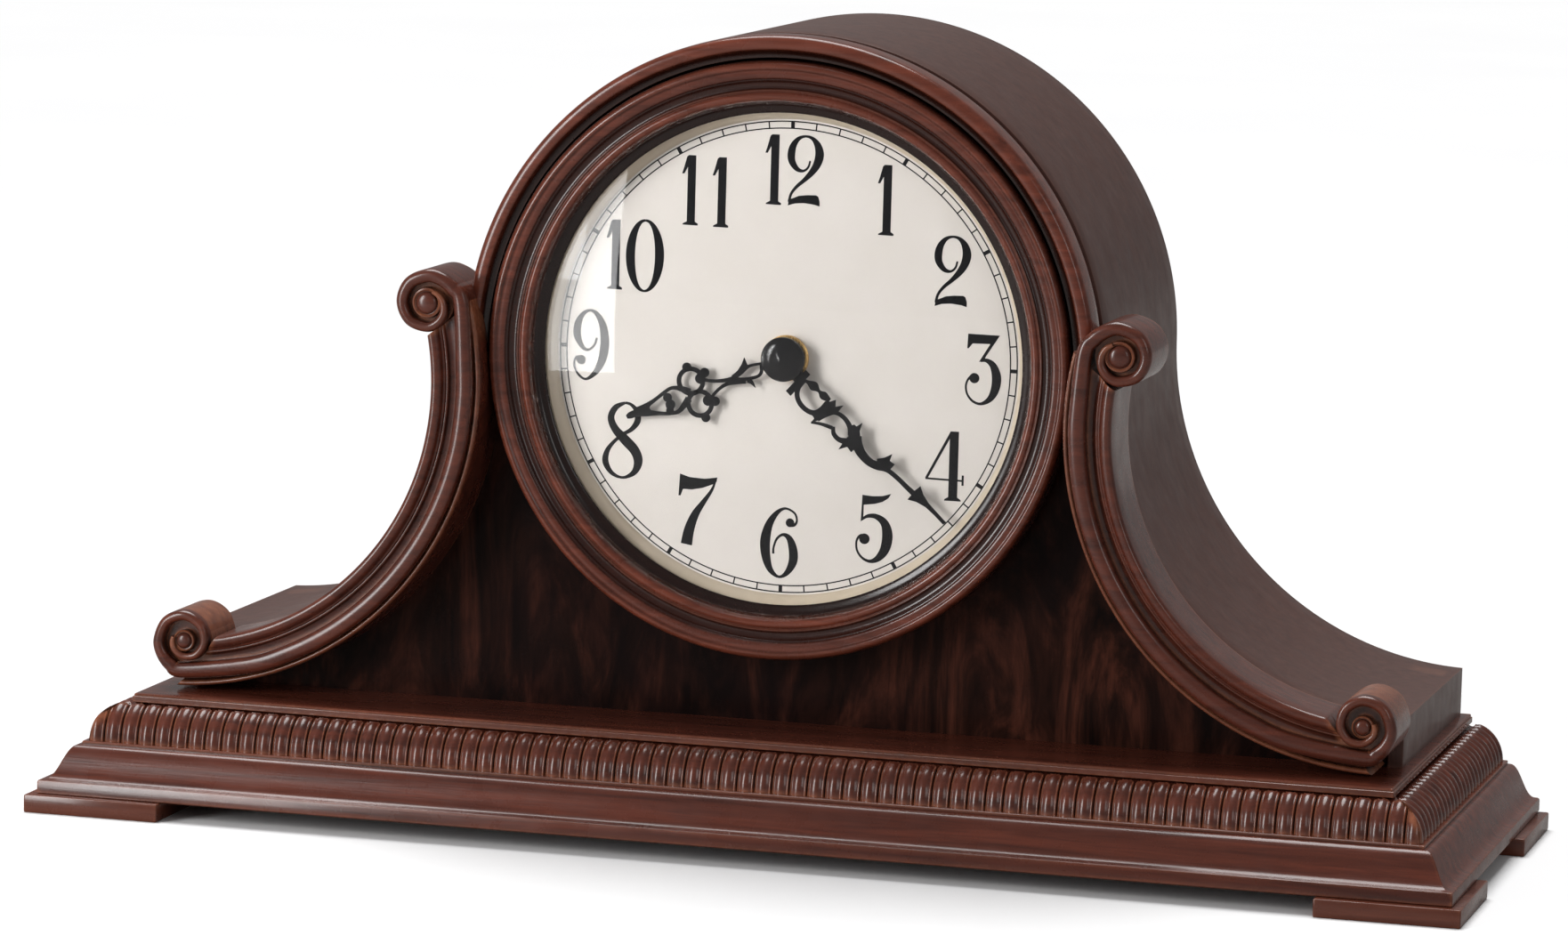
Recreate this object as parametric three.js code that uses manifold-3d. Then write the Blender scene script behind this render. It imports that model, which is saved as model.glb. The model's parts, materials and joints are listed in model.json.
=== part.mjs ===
// Tambour mantel clock: a wooden case on a moulded base, with carved scrolls, a turned bezel,
// a domed glass and a quartz chime movement that is reached through a door in the back.
// Units are millimetres. +Z is up, -Y is the front, and the origin is the middle of the footprint.

import * as THREE from 'three';
import { mergeVertices } from 'three/addons/utils/BufferGeometryUtils.js';
import Module from 'manifold-3d';

const wasm = await Module();
wasm.setup();

// ---------------------------------------------------------------- driving dimensions

// Footprint and heights of the base, bottom to top.
const OVERALL_WIDTH = 540;
const OVERALL_DEPTH = 198;
const FOOT_HEIGHT = 6.75;
const FOOT_LENGTH = 52.75;
const FOOT_DEPTH = 57.75;
const FOOT_CHAMFER = 0.75;
const PLINTH_HEIGHT = 5.25;
const OGEE_HEIGHT = 12.25;
const FILLET_HEIGHT = 1.25;
const REED_HEIGHT = 13.5;
const CAP_HEIGHT = 3.25;

// How far each moulding steps out past the ends of the case, at the front and at both ends.
const FOOT_STEP = 35.25;
const PLINTH_STEP = 31.5;
const FILLET_STEP = 18.75;
const REED_STEP = 17.5;
const CAP_STEP = 4.5;

// The case.
const SWEEP_RADIUS = 118.5;
const DIAL_HEIGHT = 178.25;
const CASE_FRONT = -25.5;
const CASE_WALL = 6;
const FRONT_PANEL_THICKNESS = 8;
const BACK_PANEL_THICKNESS = 4;
const BACK_RECESS = 7;
const PANEL_CLEARANCE = 0.25;

// The bezel, the arch round its top half, the dial and the glass.
const BEZEL_RADIUS = 110.5;
const BEZEL_DEPTH = 18.75;
const BEZEL_WIDTH = 19.75;
const BEZEL_REBATE = 3.25;
const BEZEL_LIP_BACK = 8.25;
const ARCH_DEPTH = 18;
const ARCH_WIDTH = 8.75;
const ARCH_CLEARANCE = 0.5;
const GLASS_THICKNESS = 2;
const GLASS_RISE = 9;
const GLASS_SEAT = 7.5;
const DIAL_THICKNESS = 1;
const DIAL_CLEARANCE = 0.5;
const DIAL_MARGIN = 2.75;
const DIAL_SUPPORT = 10.75;

// The scrolls.
const SCROLL_THICKNESS = 29.5;
const SCROLL_BAND = 18;
const SCROLL_EDGE_RADIUS = 101;
const SCROLL_CENTRE_HEIGHT = 163;
const VOLUTE_RADIUS = 12.25;
const UPPER_VOLUTE_OFFSET = 20;
const UPPER_VOLUTE_LEFT_HEIGHT = 193;
const UPPER_VOLUTE_RIGHT_HEIGHT = 188.5;
const LOWER_VOLUTE_X = 224.5;
const LOWER_VOLUTE_HEIGHT = 61.5;
const BAND_STOP_OUTER = 11;
const BAND_STOP_INNER = 15.5;

// The rear door and its hinges.
const DOOR_HALF_WIDTH = 74.5;
const DOOR_BOTTOM = 106;
const DOOR_TOP = 254;
const DOOR_GAP = 0.5;
const HINGE_LENGTH = 22;
const HINGE_LEAF_WIDTH = 10;
const HINGE_LEAF_THICKNESS = 0.75;
const HINGE_BARREL_RADIUS = 1.75;
const HINGE_BORE_RADIUS = 1.1;
const HINGE_PIN_RADIUS = 0.95;
const HINGE_AXIS_OFFSET = 2;
const HINGE_INSET = 22;

// The movement and the hands.
const MOVEMENT_HALF_WIDTH = 50;
const MOVEMENT_TOP = 34;
const MOVEMENT_BOTTOM = -46;
const MOVEMENT_DEPTH = 22.5;
const MOVEMENT_WALL = 2;
const WASHER_THICKNESS = 1;
const BUSHING_RADIUS = 4.75;
const BUSHING_BORE = 2.75;
const HOUR_PIPE_RADIUS = 2.5;
const HOUR_PIPE_BORE = 1.8;
const MINUTE_ARBOR_RADIUS = 1.6;
const NUT_RADIUS = 8.5;
const NUT_THICKNESS = 2;
const HAND_THICKNESS = 0.75;
const HOUR_HAND_SHORT = 25;
const MINUTE_HAND_SHORT = 3.5;
const HOUR_HAND_ANGLE = 248;
const MINUTE_HAND_ANGLE = 132;
const HUB_CAP_RADIUS = 8.25;
const CELL_RADIUS = 7.25;
const CELL_LENGTH = 50.5;
const GEAR_MODULE = 0.4;
const STEM_RADIUS = 1.75;
const SPEAKER_RADIUS = 27;
const SPEAKER_HEIGHT = 75;

// Places in the movement, measured from the middle of the dial.
const CELL_TOP_Z = -19;
const CELL_BOTTOM_Z = -35.5;
const CELL_SETBACK = 12.5;
const VOLUME = { x: 32, z: 12 };
const SLOT_Z = 25;
const SLOT_HEIGHT = 3;
const CHIME_SLOT = [22, 38];
const NIGHT_SLOT = [-38, -27];
const TAB_WIDTH = 4;

// The screws of the back panel and the cleats that hold them.
const SCREW_SHANK_RADIUS = 1.5;
const SCREW_HEAD_RADIUS = 3;
const SCREW_HEAD_HEIGHT = 1.5;
const SCREW_LENGTH = 14;
const SCREW_CLEARANCE = 0.2;
const CLEAT_DEPTH = 12;

// ---------------------------------------------------------------- values worked out from them

const CASE_HALF_WIDTH = OVERALL_WIDTH / 2 - FOOT_STEP;
const HOOD_RADIUS = BEZEL_RADIUS + ARCH_CLEARANCE + ARCH_WIDTH;
const BEZEL_OPENING = BEZEL_RADIUS - BEZEL_WIDTH;
const BEZEL_POCKET = BEZEL_OPENING + BEZEL_REBATE;
const FRONT_BORE_RADIUS = BEZEL_OPENING - DIAL_SUPPORT;
const EDGE_RING_FOOT = BEZEL_OPENING - DIAL_MARGIN;
const EDGE_RING_TOP = BEZEL_OPENING + 0.5;
const HOUR_HAND_REACH = EDGE_RING_FOOT - HOUR_HAND_SHORT;
const MINUTE_HAND_REACH = EDGE_RING_FOOT - MINUTE_HAND_SHORT;
const BACK = OVERALL_DEPTH / 2;
const STEP_FRONT = -BACK + FOOT_STEP;
const PLINTH_BOTTOM = FOOT_HEIGHT;
const OGEE_BOTTOM = PLINTH_BOTTOM + PLINTH_HEIGHT;
const FILLET_BOTTOM = OGEE_BOTTOM + OGEE_HEIGHT;
const REED_BOTTOM = FILLET_BOTTOM + FILLET_HEIGHT;
const CAP_BOTTOM = REED_BOTTOM + REED_HEIGHT;
const CASE_BOTTOM = CAP_BOTTOM + CAP_HEIGHT;
const BACK_PANEL_BACK = BACK - BACK_RECESS;
const BACK_PANEL_FRONT = BACK_PANEL_BACK - BACK_PANEL_THICKNESS;
const DIAL_FRONT = CASE_FRONT - DIAL_THICKNESS;
const MOVEMENT_FRONT = CASE_FRONT + WASHER_THICKNESS;
const MOVEMENT_BACK = MOVEMENT_FRONT + MOVEMENT_DEPTH;
const COVER_BACK = MOVEMENT_BACK + MOVEMENT_WALL;
const NUT_FRONT = DIAL_FRONT - NUT_THICKNESS;
const BUSHING_FRONT = NUT_FRONT + 0.25;
const HOUR_HAND_BACK = NUT_FRONT - 0.5;
const MINUTE_HAND_BACK = HOUR_HAND_BACK - HAND_THICKNESS - 1;
const HUB_BACK = MINUTE_HAND_BACK - HAND_THICKNESS;
const RUNNING_GAP = 0.25;
const CELL_Y = MOVEMENT_FRONT + CELL_SETBACK;

// Gear centres: half the teeth of each pair, times the module.
const INTERMEDIATE_X = 20 * GEAR_MODULE;
const REDUCTION_X = -16 * GEAR_MODULE;
const ROTOR_X = REDUCTION_X - 24 * GEAR_MODULE * Math.SQRT1_2;
const ROTOR_Z = 24 * GEAR_MODULE * Math.SQRT1_2;

// ---------------------------------------------------------------- geometry helpers

/** Merge shared corners, drop empty triangles and turn the faces outwards. */
function closed(geometry) {
  const bare = geometry.clone();
  bare.deleteAttribute('normal');
  bare.deleteAttribute('uv');
  const merged = mergeVertices(bare, 1e-4);
  const corners = [...merged.index.array];
  const at = (i) => new THREE.Vector3().fromBufferAttribute(merged.attributes.position, i);
  const kept = [];
  let volume = 0;
  for (let i = 0; i < corners.length; i += 3) {
    const [a, b, c] = corners.slice(i, i + 3);
    if (a === b || b === c || c === a) continue;
    kept.push(a, b, c);
    volume += at(a).dot(at(b).cross(at(c)));
  }
  if (volume < 0) {
    for (let i = 0; i < kept.length; i += 3) {
      [kept[i + 1], kept[i + 2]] = [kept[i + 2], kept[i + 1]];
    }
  }
  merged.setIndex(kept);
  return merged;
}

function toSolid(geometry) {
  const mesh = closed(geometry);
  return new wasm.Manifold(new wasm.Mesh({
    numProp: 3,
    vertProperties: new Float32Array(mesh.attributes.position.array),
    triVerts: new Uint32Array(mesh.index.array),
  }));
}

function toGeometry(solid) {
  const mesh = solid.getMesh();
  const geometry = new THREE.BufferGeometry();
  const positions = new Float32Array(mesh.numVert * 3);
  for (let i = 0; i < mesh.numVert; i += 1) {
    for (let k = 0; k < 3; k += 1) {
      positions[3 * i + k] = mesh.vertProperties[mesh.numProp * i + k];
    }
  }
  geometry.setAttribute('position', new THREE.BufferAttribute(positions, 3));
  geometry.setIndex([...mesh.triVerts]);
  return geometry;
}

function cut(geometry, ...tools) {
  return toGeometry(tools.reduce((body, tool) => body.subtract(toSolid(tool)), toSolid(geometry)));
}

function join(geometry, ...others) {
  return toGeometry(others.reduce((body, other) => body.add(toSolid(other)), toSolid(geometry)));
}

function common(geometry, other) {
  return toGeometry(toSolid(geometry).intersect(toSolid(other)));
}

const ALONG_X = new THREE.Matrix4().set(0, 0, 1, 0, 1, 0, 0, 0, 0, 1, 0, 0, 0, 0, 0, 1);
const ALONG_Y = new THREE.Matrix4().set(1, 0, 0, 0, 0, 0, 1, 0, 0, 1, 0, 0, 0, 0, 0, 1);

/** An outline of [y, z] points, pushed from x0 to x1. */
function alongX(shape, x0, x1) {
  const flat = new THREE.ExtrudeGeometry(shape, { depth: x1 - x0, bevelEnabled: false, steps: 1 });
  return flat.translate(0, 0, x0).applyMatrix4(ALONG_X);
}

/** An outline of [x, z] points, pushed from y0 to y1. */
function alongY(shape, y0, y1) {
  const flat = new THREE.ExtrudeGeometry(shape, { depth: y1 - y0, bevelEnabled: false, steps: 1 });
  return flat.translate(0, 0, y0).applyMatrix4(ALONG_Y);
}

/** An outline of [x, y] points, pushed from z0 to z1. */
function alongZ(shape, z0, z1) {
  const flat = new THREE.ExtrudeGeometry(shape, { depth: z1 - z0, bevelEnabled: false, steps: 1 });
  return flat.translate(0, 0, z0);
}

function outline(points) {
  return new THREE.Shape(points.map(([a, b]) => new THREE.Vector2(a, b)));
}

function block(x0, x1, y0, y1, z0, z1) {
  const box = new THREE.BoxGeometry(x1 - x0, y1 - y0, z1 - z0);
  return box.translate((x0 + x1) / 2, (y0 + y1) / 2, (z0 + z1) / 2);
}

/** A piece turned about Y from [radius, y] points; a profile off the axis closes on itself. */
function turned(points, x = 0, z = 0, sides = 24) {
  const onAxis = points[0][0] === 0;
  const profile = onAxis ? points : [...points, points[0]];
  const corners = profile.map(([r, y]) => new THREE.Vector2(r, y));
  return new THREE.LatheGeometry(corners, sides).translate(x, 0, z);
}

function rodY(radius, y0, y1, x = 0, z = 0, sides = 16) {
  return turned([[0, y0], [radius, y0], [radius, y1], [0, y1]], x, z, sides);
}

function tubeY(inner, outer, y0, y1, x = 0, z = 0, sides = 24) {
  return turned([[inner, y0], [outer, y0], [outer, y1], [inner, y1]], x, z, sides);
}

function rodZ(radius, z0, z1, x, y, sides = 12) {
  const rod = new THREE.CylinderGeometry(radius, radius, z1 - z0, sides);
  return rod.applyMatrix4(ALONG_Y).translate(x, y, (z0 + z1) / 2);
}

/** Points on an arc in degrees, counter-clockwise from the first axis. */
function arc(cx, cz, radius, from, to, steps) {
  const points = [];
  for (let i = 0; i <= steps; i += 1) {
    const angle = THREE.MathUtils.degToRad(from + (to - from) * i / steps);
    points.push([cx + radius * Math.cos(angle), cz + radius * Math.sin(angle)]);
  }
  return points;
}

/** A spur gear with straight-sided teeth about Y; phase is the angle of one tooth, in degrees. */
function gear(teeth, y0, y1, x, z, phase) {
  const pitch = GEAR_MODULE * teeth / 2;
  const tip = pitch + 0.75 * GEAR_MODULE;
  const root = pitch - 1.1 * GEAR_MODULE;
  const tooth = 2 * Math.PI / teeth;
  const points = [];
  for (let i = 0; i < teeth; i += 1) {
    const middle = THREE.MathUtils.degToRad(phase) + i * tooth;
    for (const [radius, share] of [[root, -0.3], [tip, -0.11], [tip, 0.11], [root, 0.3]]) {
      const angle = middle + share * tooth;
      points.push([x + radius * Math.cos(angle), z + radius * Math.sin(angle)]);
    }
  }
  return alongY(outline(points), y0, y1);
}

// ---------------------------------------------------------------- materials

const material = (color, roughness, metalness = 0) =>
  new THREE.MeshStandardMaterial({ color, roughness, metalness });

const cherry = () => material(0x5a2c22, 0.35);
const hoodWood = () => material(0x5e3a33, 0.4);
const burl = () => material(0x2a1613, 0.3);
const backBoard = () => material(0x4a2a20, 0.6);
const ivory = () => material(0xece4d8, 0.6);
const khaki = () => material(0xb8a88a, 0.5);
const black = () => material(0x0c0c0d, 0.4);
const brass = () => material(0xb58a45, 0.3, 1);
const steel = () => material(0xb4b4b8, 0.35, 1);
const copper = () => material(0xa85a32, 0.4, 1);
const blackPlastic = () => material(0x1b1b1d, 0.5);
const greyPlastic = () => material(0x6c6d70, 0.5);
const nylon = () => material(0xd9d6cc, 0.5);
const rubber = () => material(0x161616, 0.8);
const board = () => material(0x1f5a36, 0.5);
const paperCone = () => material(0x26241f, 0.9);
const cellWrap = () => material(0x31445c, 0.4);

function clearGlass() {
  const glass = material(0xffffff, 0.05);
  glass.transparent = true;
  glass.opacity = 0.2;
  return glass;
}

const clock = new THREE.Group();
const dialGroup = new THREE.Group();
dialGroup.position.z = DIAL_HEIGHT;
clock.add(dialGroup);

function add(name, geometry, look, group = clock) {
  const mesh = new THREE.Mesh(closed(geometry), look);
  mesh.name = name;
  group.add(mesh);
}

// ---------------------------------------------------------------- base

/** A step profile as [offset, z] points, swept round the front and both ends and cut flat behind. */
function mouldedBoard(profile) {
  const bottom = profile[0][1];
  const top = profile[profile.length - 1][1];
  const front = profile.map(([offset, z]) => [STEP_FRONT - offset, z]);
  const side = outline([...front, [BACK, top], [BACK, bottom]]);
  const right = profile.map(([offset, z]) => [CASE_HALF_WIDTH + offset, z]);
  const left = [...right].reverse().map(([x, z]) => [-x, z]);
  const end = outline([...right, ...left]);
  return common(alongX(side, -OVERALL_WIDTH, OVERALL_WIDTH), alongY(end, -OVERALL_DEPTH, OVERALL_DEPTH));
}

function addFeet() {
  const hands = { left: -1, right: 1 };
  const rows = { front: -BACK, rear: BACK - FOOT_DEPTH };
  for (const [row, y0] of Object.entries(rows)) {
    for (const [hand, sign] of Object.entries(hands)) {
      const outer = sign * OVERALL_WIDTH / 2;
      const inner = sign * (OVERALL_WIDTH / 2 - FOOT_LENGTH);
      const [x0, x1] = [Math.min(outer, inner), Math.max(outer, inner)];
      const c = FOOT_CHAMFER;
      const ends = outline([
        [x0, 0], [x1, 0], [x1, FOOT_HEIGHT - c], [x1 - c, FOOT_HEIGHT], [x0 + c, FOOT_HEIGHT],
        [x0, FOOT_HEIGHT - c],
      ]);
      add(`foot_${row}_${hand}`, alongY(ends, y0, y0 + FOOT_DEPTH), cherry());
    }
  }
}

/** Curve from the plinth's edge in to the fillet: a hollow below and a round above. */
function ogee() {
  const points = [];
  const steps = 8;
  const reach = PLINTH_STEP - FILLET_STEP;
  for (let i = 0; i <= steps; i += 1) {
    const t = i / steps;
    const rise = t - Math.sin(2 * Math.PI * t) / (2 * Math.PI);
    points.push([PLINTH_STEP - reach * t, OGEE_BOTTOM + OGEE_HEIGHT * rise]);
  }
  return points;
}

function addBaseBoard() {
  const profile = [
    [PLINTH_STEP, PLINTH_BOTTOM], ...ogee(), [FILLET_STEP, REED_BOTTOM],
    [0, REED_BOTTOM], [0, CAP_BOTTOM],
  ];
  add('base_board', mouldedBoard(profile), cherry());
}

/** Quarter-round of the reeded strips as [offset, z] points, from the outer foot up to the core. */
function reedProfile() {
  const points = [];
  const steps = 7;
  const reach = REED_STEP - CAP_STEP;
  for (let i = 0; i <= steps; i += 1) {
    const angle = Math.PI / 2 * i / steps;
    points.push([CAP_STEP + reach * Math.cos(angle), REED_BOTTOM + REED_HEIGHT * Math.sin(angle)]);
  }
  return [...points, [0, CAP_BOTTOM], [0, REED_BOTTOM]];
}

function addReededStrips() {
  const profile = reedProfile();
  const far = REED_STEP + 2;
  const [x, y] = [CASE_HALF_WIDTH, STEP_FRONT];
  const frontBar = alongX(outline(profile.map(([o, z]) => [y - o, z])), -x - far, x + far);
  const frontKeep = outline([[-x, y], [-x - far, y - far], [x + far, y - far], [x, y]]);
  add('reeded_strip_front', common(frontBar, alongZ(frontKeep, 0, CASE_BOTTOM)), cherry());
  for (const [hand, sign] of [['left', -1], ['right', 1]]) {
    const bar = alongY(outline(profile.map(([o, z]) => [sign * (x + o), z])), y - far, BACK);
    const [near, out] = [sign * x, sign * (x + far)];
    const keep = outline([[near, y], [out, y - far], [out, BACK], [near, BACK]]);
    add(`reeded_strip_${hand}`, common(bar, alongZ(keep, 0, CASE_BOTTOM)), cherry());
  }
}

function addCapBoard() {
  const bead = 0.75;
  const profile = [
    [CAP_STEP, CAP_BOTTOM], [CAP_STEP, CASE_BOTTOM - bead], [CAP_STEP - bead, CASE_BOTTOM],
  ];
  add('cap_board', mouldedBoard(profile), cherry());
}

// ---------------------------------------------------------------- case

/** The tambour outline moved inwards by inset, as [x, z] points from the right foot to the left one. */
function tambour(inset, bottom) {
  const x = CASE_HALF_WIDTH - inset;
  const centre = HOOD_RADIUS + SWEEP_RADIUS;
  const radius = SWEEP_RADIUS + inset;
  const end = 270 - THREE.MathUtils.radToDeg(Math.asin((centre - x) / radius));
  const sweep = arc(centre, DIAL_HEIGHT, radius, end, 180, 12);
  const hood = arc(0, DIAL_HEIGHT, HOOD_RADIUS - inset, 0, 180, 32);
  const mirrored = [...sweep].reverse().map(([px, pz]) => [-px, pz]);
  return [[x, bottom], ...sweep, ...hood.slice(1, -1), ...mirrored, [-x, bottom]];
}

const cleats = [
  { x: HOOD_RADIUS - CASE_WALL - 8, z: DIAL_HEIGHT, width: 20, height: 16 },
  { x: CASE_HALF_WIDTH - CASE_WALL - 12, z: CASE_BOTTOM + 9, width: 28, height: 17 },
];

/** Bent side and top of the case, with four cleats inside that the back panel is screwed to. */
function addCaseWrap() {
  const inner = tambour(CASE_WALL, CASE_BOTTOM);
  const band = alongY(outline([...tambour(0, CASE_BOTTOM), ...[...inner].reverse()]), CASE_FRONT, BACK);
  const outer = alongY(outline(tambour(0, CASE_BOTTOM)), CASE_FRONT, BACK);
  const blocks = [];
  for (const { x, z, width, height } of cleats) {
    for (const sign of [-1, 1]) {
      const middle = sign * x;
      blocks.push(common(outer, block(
        middle - width / 2, middle + width / 2, BACK_PANEL_FRONT - CLEAT_DEPTH, BACK_PANEL_FRONT,
        z - height / 2, z + height / 2,
      )));
    }
  }
  const holes = screwPlaces().map(([x, z]) => screwHole(x, z));
  add('case_wrap', cut(join(band, ...blocks), ...holes), hoodWood());
}

function screwPlaces() {
  return cleats.flatMap(({ x, z }) => [[-x, z], [x, z]]);
}

/** A pan-head screw whose head stands on the back panel. */
function screw(x, z) {
  const tip = BACK_PANEL_BACK - SCREW_LENGTH;
  const top = BACK_PANEL_BACK + SCREW_HEAD_HEIGHT;
  return turned([
    [0, tip], [SCREW_SHANK_RADIUS, tip + 2], [SCREW_SHANK_RADIUS, BACK_PANEL_BACK],
    [SCREW_HEAD_RADIUS, BACK_PANEL_BACK], [SCREW_HEAD_RADIUS - 0.5, top], [0, top],
  ], x, z, 12);
}

function screwHole(x, z) {
  return rodY(SCREW_SHANK_RADIUS + SCREW_CLEARANCE, BACK_PANEL_FRONT - 2 * CLEAT_DEPTH, BACK, x, z, 12);
}

function addBackScrews() {
  screwPlaces().forEach(([x, z], i) => add(`back_screw_${i + 1}`, screw(x, z), steel()));
}

function addFrontPanel() {
  const inset = CASE_WALL + PANEL_CLEARANCE;
  const back = CASE_FRONT + FRONT_PANEL_THICKNESS;
  const panel = alongY(outline(tambour(inset, CASE_BOTTOM)), CASE_FRONT, back);
  const bore = rodY(FRONT_BORE_RADIUS, CASE_FRONT - 1, back + 1, 0, DIAL_HEIGHT, 40);
  add('front_panel', cut(panel, bore), burl());
}

/** The upper half of a ring about the dial's axis; drop lowers its two ends. */
function upperHalf(profile, drop) {
  const reach = 2 * HOOD_RADIUS;
  const below = block(-reach, reach, -BACK, BACK, DIAL_HEIGHT - reach, DIAL_HEIGHT - drop);
  return cut(turned(profile, 0, DIAL_HEIGHT, 64), below);
}

/** Rim of the hood that stands forward of the case round the top half of the bezel. */
function hoodArch() {
  const inner = BEZEL_RADIUS + ARCH_CLEARANCE;
  const outer = HOOD_RADIUS;
  const front = CASE_FRONT - ARCH_DEPTH;
  return upperHalf([
    [inner, CASE_FRONT], [outer, CASE_FRONT], [outer, front + 3], [outer - 0.75, front + 1],
    [outer - 2.5, front], [outer - 4.5, front + 0.75], [outer - 6, front + 3], [inner, front + 4],
  ], 0);
}

/** Room in the back of a scroll for the end of the arch. */
function archNotch() {
  const gap = RUNNING_GAP;
  const inner = BEZEL_RADIUS + ARCH_CLEARANCE - gap;
  const outer = HOOD_RADIUS + gap;
  const front = CASE_FRONT - ARCH_DEPTH - gap;
  return upperHalf([
    [inner, CASE_FRONT + 1], [outer, CASE_FRONT + 1], [outer, front], [inner, front],
  ], gap);
}

/** Both volutes of a scroll bend towards its hollow side; side is 1 on the right and -1 on the left. */
function scrollOutline(side, upperHeight) {
  const edgeX = BEZEL_RADIUS + ARCH_CLEARANCE;
  const centreX = edgeX + SCROLL_BAND + SCROLL_EDGE_RADIUS;
  const upperX = edgeX + UPPER_VOLUTE_OFFSET;
  const outer = SCROLL_EDGE_RADIUS + SCROLL_BAND;
  const points = [];
  const spiral = (cx, cz, from, to, swell, steps) => {
    for (let i = 0; i <= steps; i += 1) {
      const angle = from + (to - from) * i / steps;
      const radians = THREE.MathUtils.degToRad(angle);
      const radius = VOLUTE_RADIUS + swell(angle);
      points.push([cx + radius * Math.cos(radians), cz + radius * Math.sin(radians)]);
    }
  };
  spiral(upperX, upperHeight, -85, 180, (angle) => 7.5 * (Math.max(0, angle - 90) / 90) ** 2, 18);
  const stop = (radius, short) => {
    const reach = centreX - LOWER_VOLUTE_X + short;
    return 270 - THREE.MathUtils.radToDeg(Math.asin(reach / radius));
  };
  const outerStop = stop(outer, BAND_STOP_OUTER);
  const innerStop = stop(SCROLL_EDGE_RADIUS, BAND_STOP_INNER);
  points.push(...arc(centreX, SCROLL_CENTRE_HEIGHT, outer, 180, outerStop, 16));
  spiral(LOWER_VOLUTE_X, LOWER_VOLUTE_HEIGHT, -80, 150, (angle) => 5 * (Math.max(0, -angle) / 80) ** 2, 16);
  points.push(...arc(centreX, SCROLL_CENTRE_HEIGHT, SCROLL_EDGE_RADIUS, innerStop, 180, 16));
  return outline(points.map(([x, z]) => [side * x, z]));
}

function addHoodAndScrolls() {
  add('hood_arch', hoodArch(), hoodWood());
  const notch = archNotch();
  const heights = { left: UPPER_VOLUTE_LEFT_HEIGHT, right: UPPER_VOLUTE_RIGHT_HEIGHT };
  for (const [hand, sign] of [['left', -1], ['right', 1]]) {
    const body = alongY(scrollOutline(sign, heights[hand]), CASE_FRONT - SCROLL_THICKNESS, CASE_FRONT);
    add(`scroll_${hand}`, cut(body, notch), cherry());
  }
}

// ---------------------------------------------------------------- back panel, door and speaker

const hingeAxisX = -DOOR_HALF_WIDTH - DOOR_GAP / 2;
const hingeAxisY = BACK_PANEL_BACK + HINGE_AXIS_OFFSET;

function addBackPanel() {
  const inset = CASE_WALL + PANEL_CLEARANCE;
  const panel = alongY(outline(tambour(inset, CASE_BOTTOM)), BACK_PANEL_FRONT, BACK_PANEL_BACK);
  const opening = DOOR_HALF_WIDTH + DOOR_GAP;
  const tools = [block(
    -opening, opening, BACK_PANEL_FRONT - 1, BACK_PANEL_BACK + 1,
    DOOR_BOTTOM - DOOR_GAP, DOOR_TOP + DOOR_GAP,
  )];
  for (const [x, z] of screwPlaces()) tools.push(screwHole(x, z));
  const soundHole = 3.5;
  for (let i = 0; i < 7; i += 1) {
    const angle = i * Math.PI / 3;
    const reach = i === 6 ? 0 : 12;
    tools.push(rodY(
      soundHole, BACK_PANEL_FRONT - 1, BACK_PANEL_BACK + 1,
      reach * Math.cos(angle), SPEAKER_HEIGHT + reach * Math.sin(angle), 12,
    ));
  }
  add('back_panel', cut(panel, ...tools), backBoard());
}

function addDoor() {
  const h = DOOR_HALF_WIDTH;
  add('rear_door', block(-h, h, BACK_PANEL_FRONT, BACK_PANEL_BACK, DOOR_BOTTOM, DOOR_TOP), backBoard());
  const knobX = h - 9;
  add('door_knob', turned([
    [0, BACK_PANEL_BACK], [2.5, BACK_PANEL_BACK], [2, BACK_PANEL_BACK + 2], [4.25, BACK_PANEL_BACK + 3.5],
    [4.25, BACK_PANEL_BACK + 5], [2.5, BACK_PANEL_BACK + 6.25], [0, BACK_PANEL_BACK + 6.5],
  ], knobX, DIAL_HEIGHT, 20), brass());
  const catchBottom = DIAL_HEIGHT - 8;
  const catchTop = DIAL_HEIGHT + 8;
  const strikeBack = BACK_PANEL_FRONT;
  const strikeThickness = 0.75;
  add('catch_strike', block(
    h - 12, h - 2, strikeBack - strikeThickness, strikeBack, catchBottom, catchTop,
  ), steel());
  const magnetBack = strikeBack - strikeThickness - RUNNING_GAP;
  const reach = block(h - 12, h + 4, magnetBack - 8, magnetBack, catchBottom, catchTop);
  const fixing = block(
    h + DOOR_GAP + 2, h + 14, magnetBack - 8, BACK_PANEL_FRONT, catchBottom, catchTop,
  );
  add('catch_magnet', join(reach, fixing), blackPlastic());
}

/** One hinge leaf: a plate, a web and half of the barrel; side is -1 on the case and 1 on the door. */
function hingeLeaf(side, bottom, barrelBottom) {
  const gap = HINGE_BARREL_RADIUS + RUNNING_GAP;
  const plateBack = BACK_PANEL_BACK + HINGE_LEAF_THICKNESS;
  const span = (from, to) => [Math.min(from, to), Math.max(from, to)];
  const [p0, p1] = span(hingeAxisX + side * gap, hingeAxisX + side * (gap + HINGE_LEAF_WIDTH));
  const [w0, w1] = span(hingeAxisX + side * 0.25, hingeAxisX + side * (gap + 0.5));
  const barrelTop = barrelBottom + HINGE_LENGTH / 2 - RUNNING_GAP;
  const plate = block(p0, p1, BACK_PANEL_BACK, plateBack, bottom, bottom + HINGE_LENGTH);
  const web = block(w0, w1, BACK_PANEL_BACK, plateBack, barrelBottom, barrelTop);
  const barrel = rodZ(HINGE_BARREL_RADIUS, barrelBottom, barrelTop, hingeAxisX, hingeAxisY, 16);
  const bore = rodZ(HINGE_BORE_RADIUS, barrelBottom - 1, barrelTop + 1, hingeAxisX, hingeAxisY, 16);
  return cut(join(plate, web, barrel), bore);
}

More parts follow.
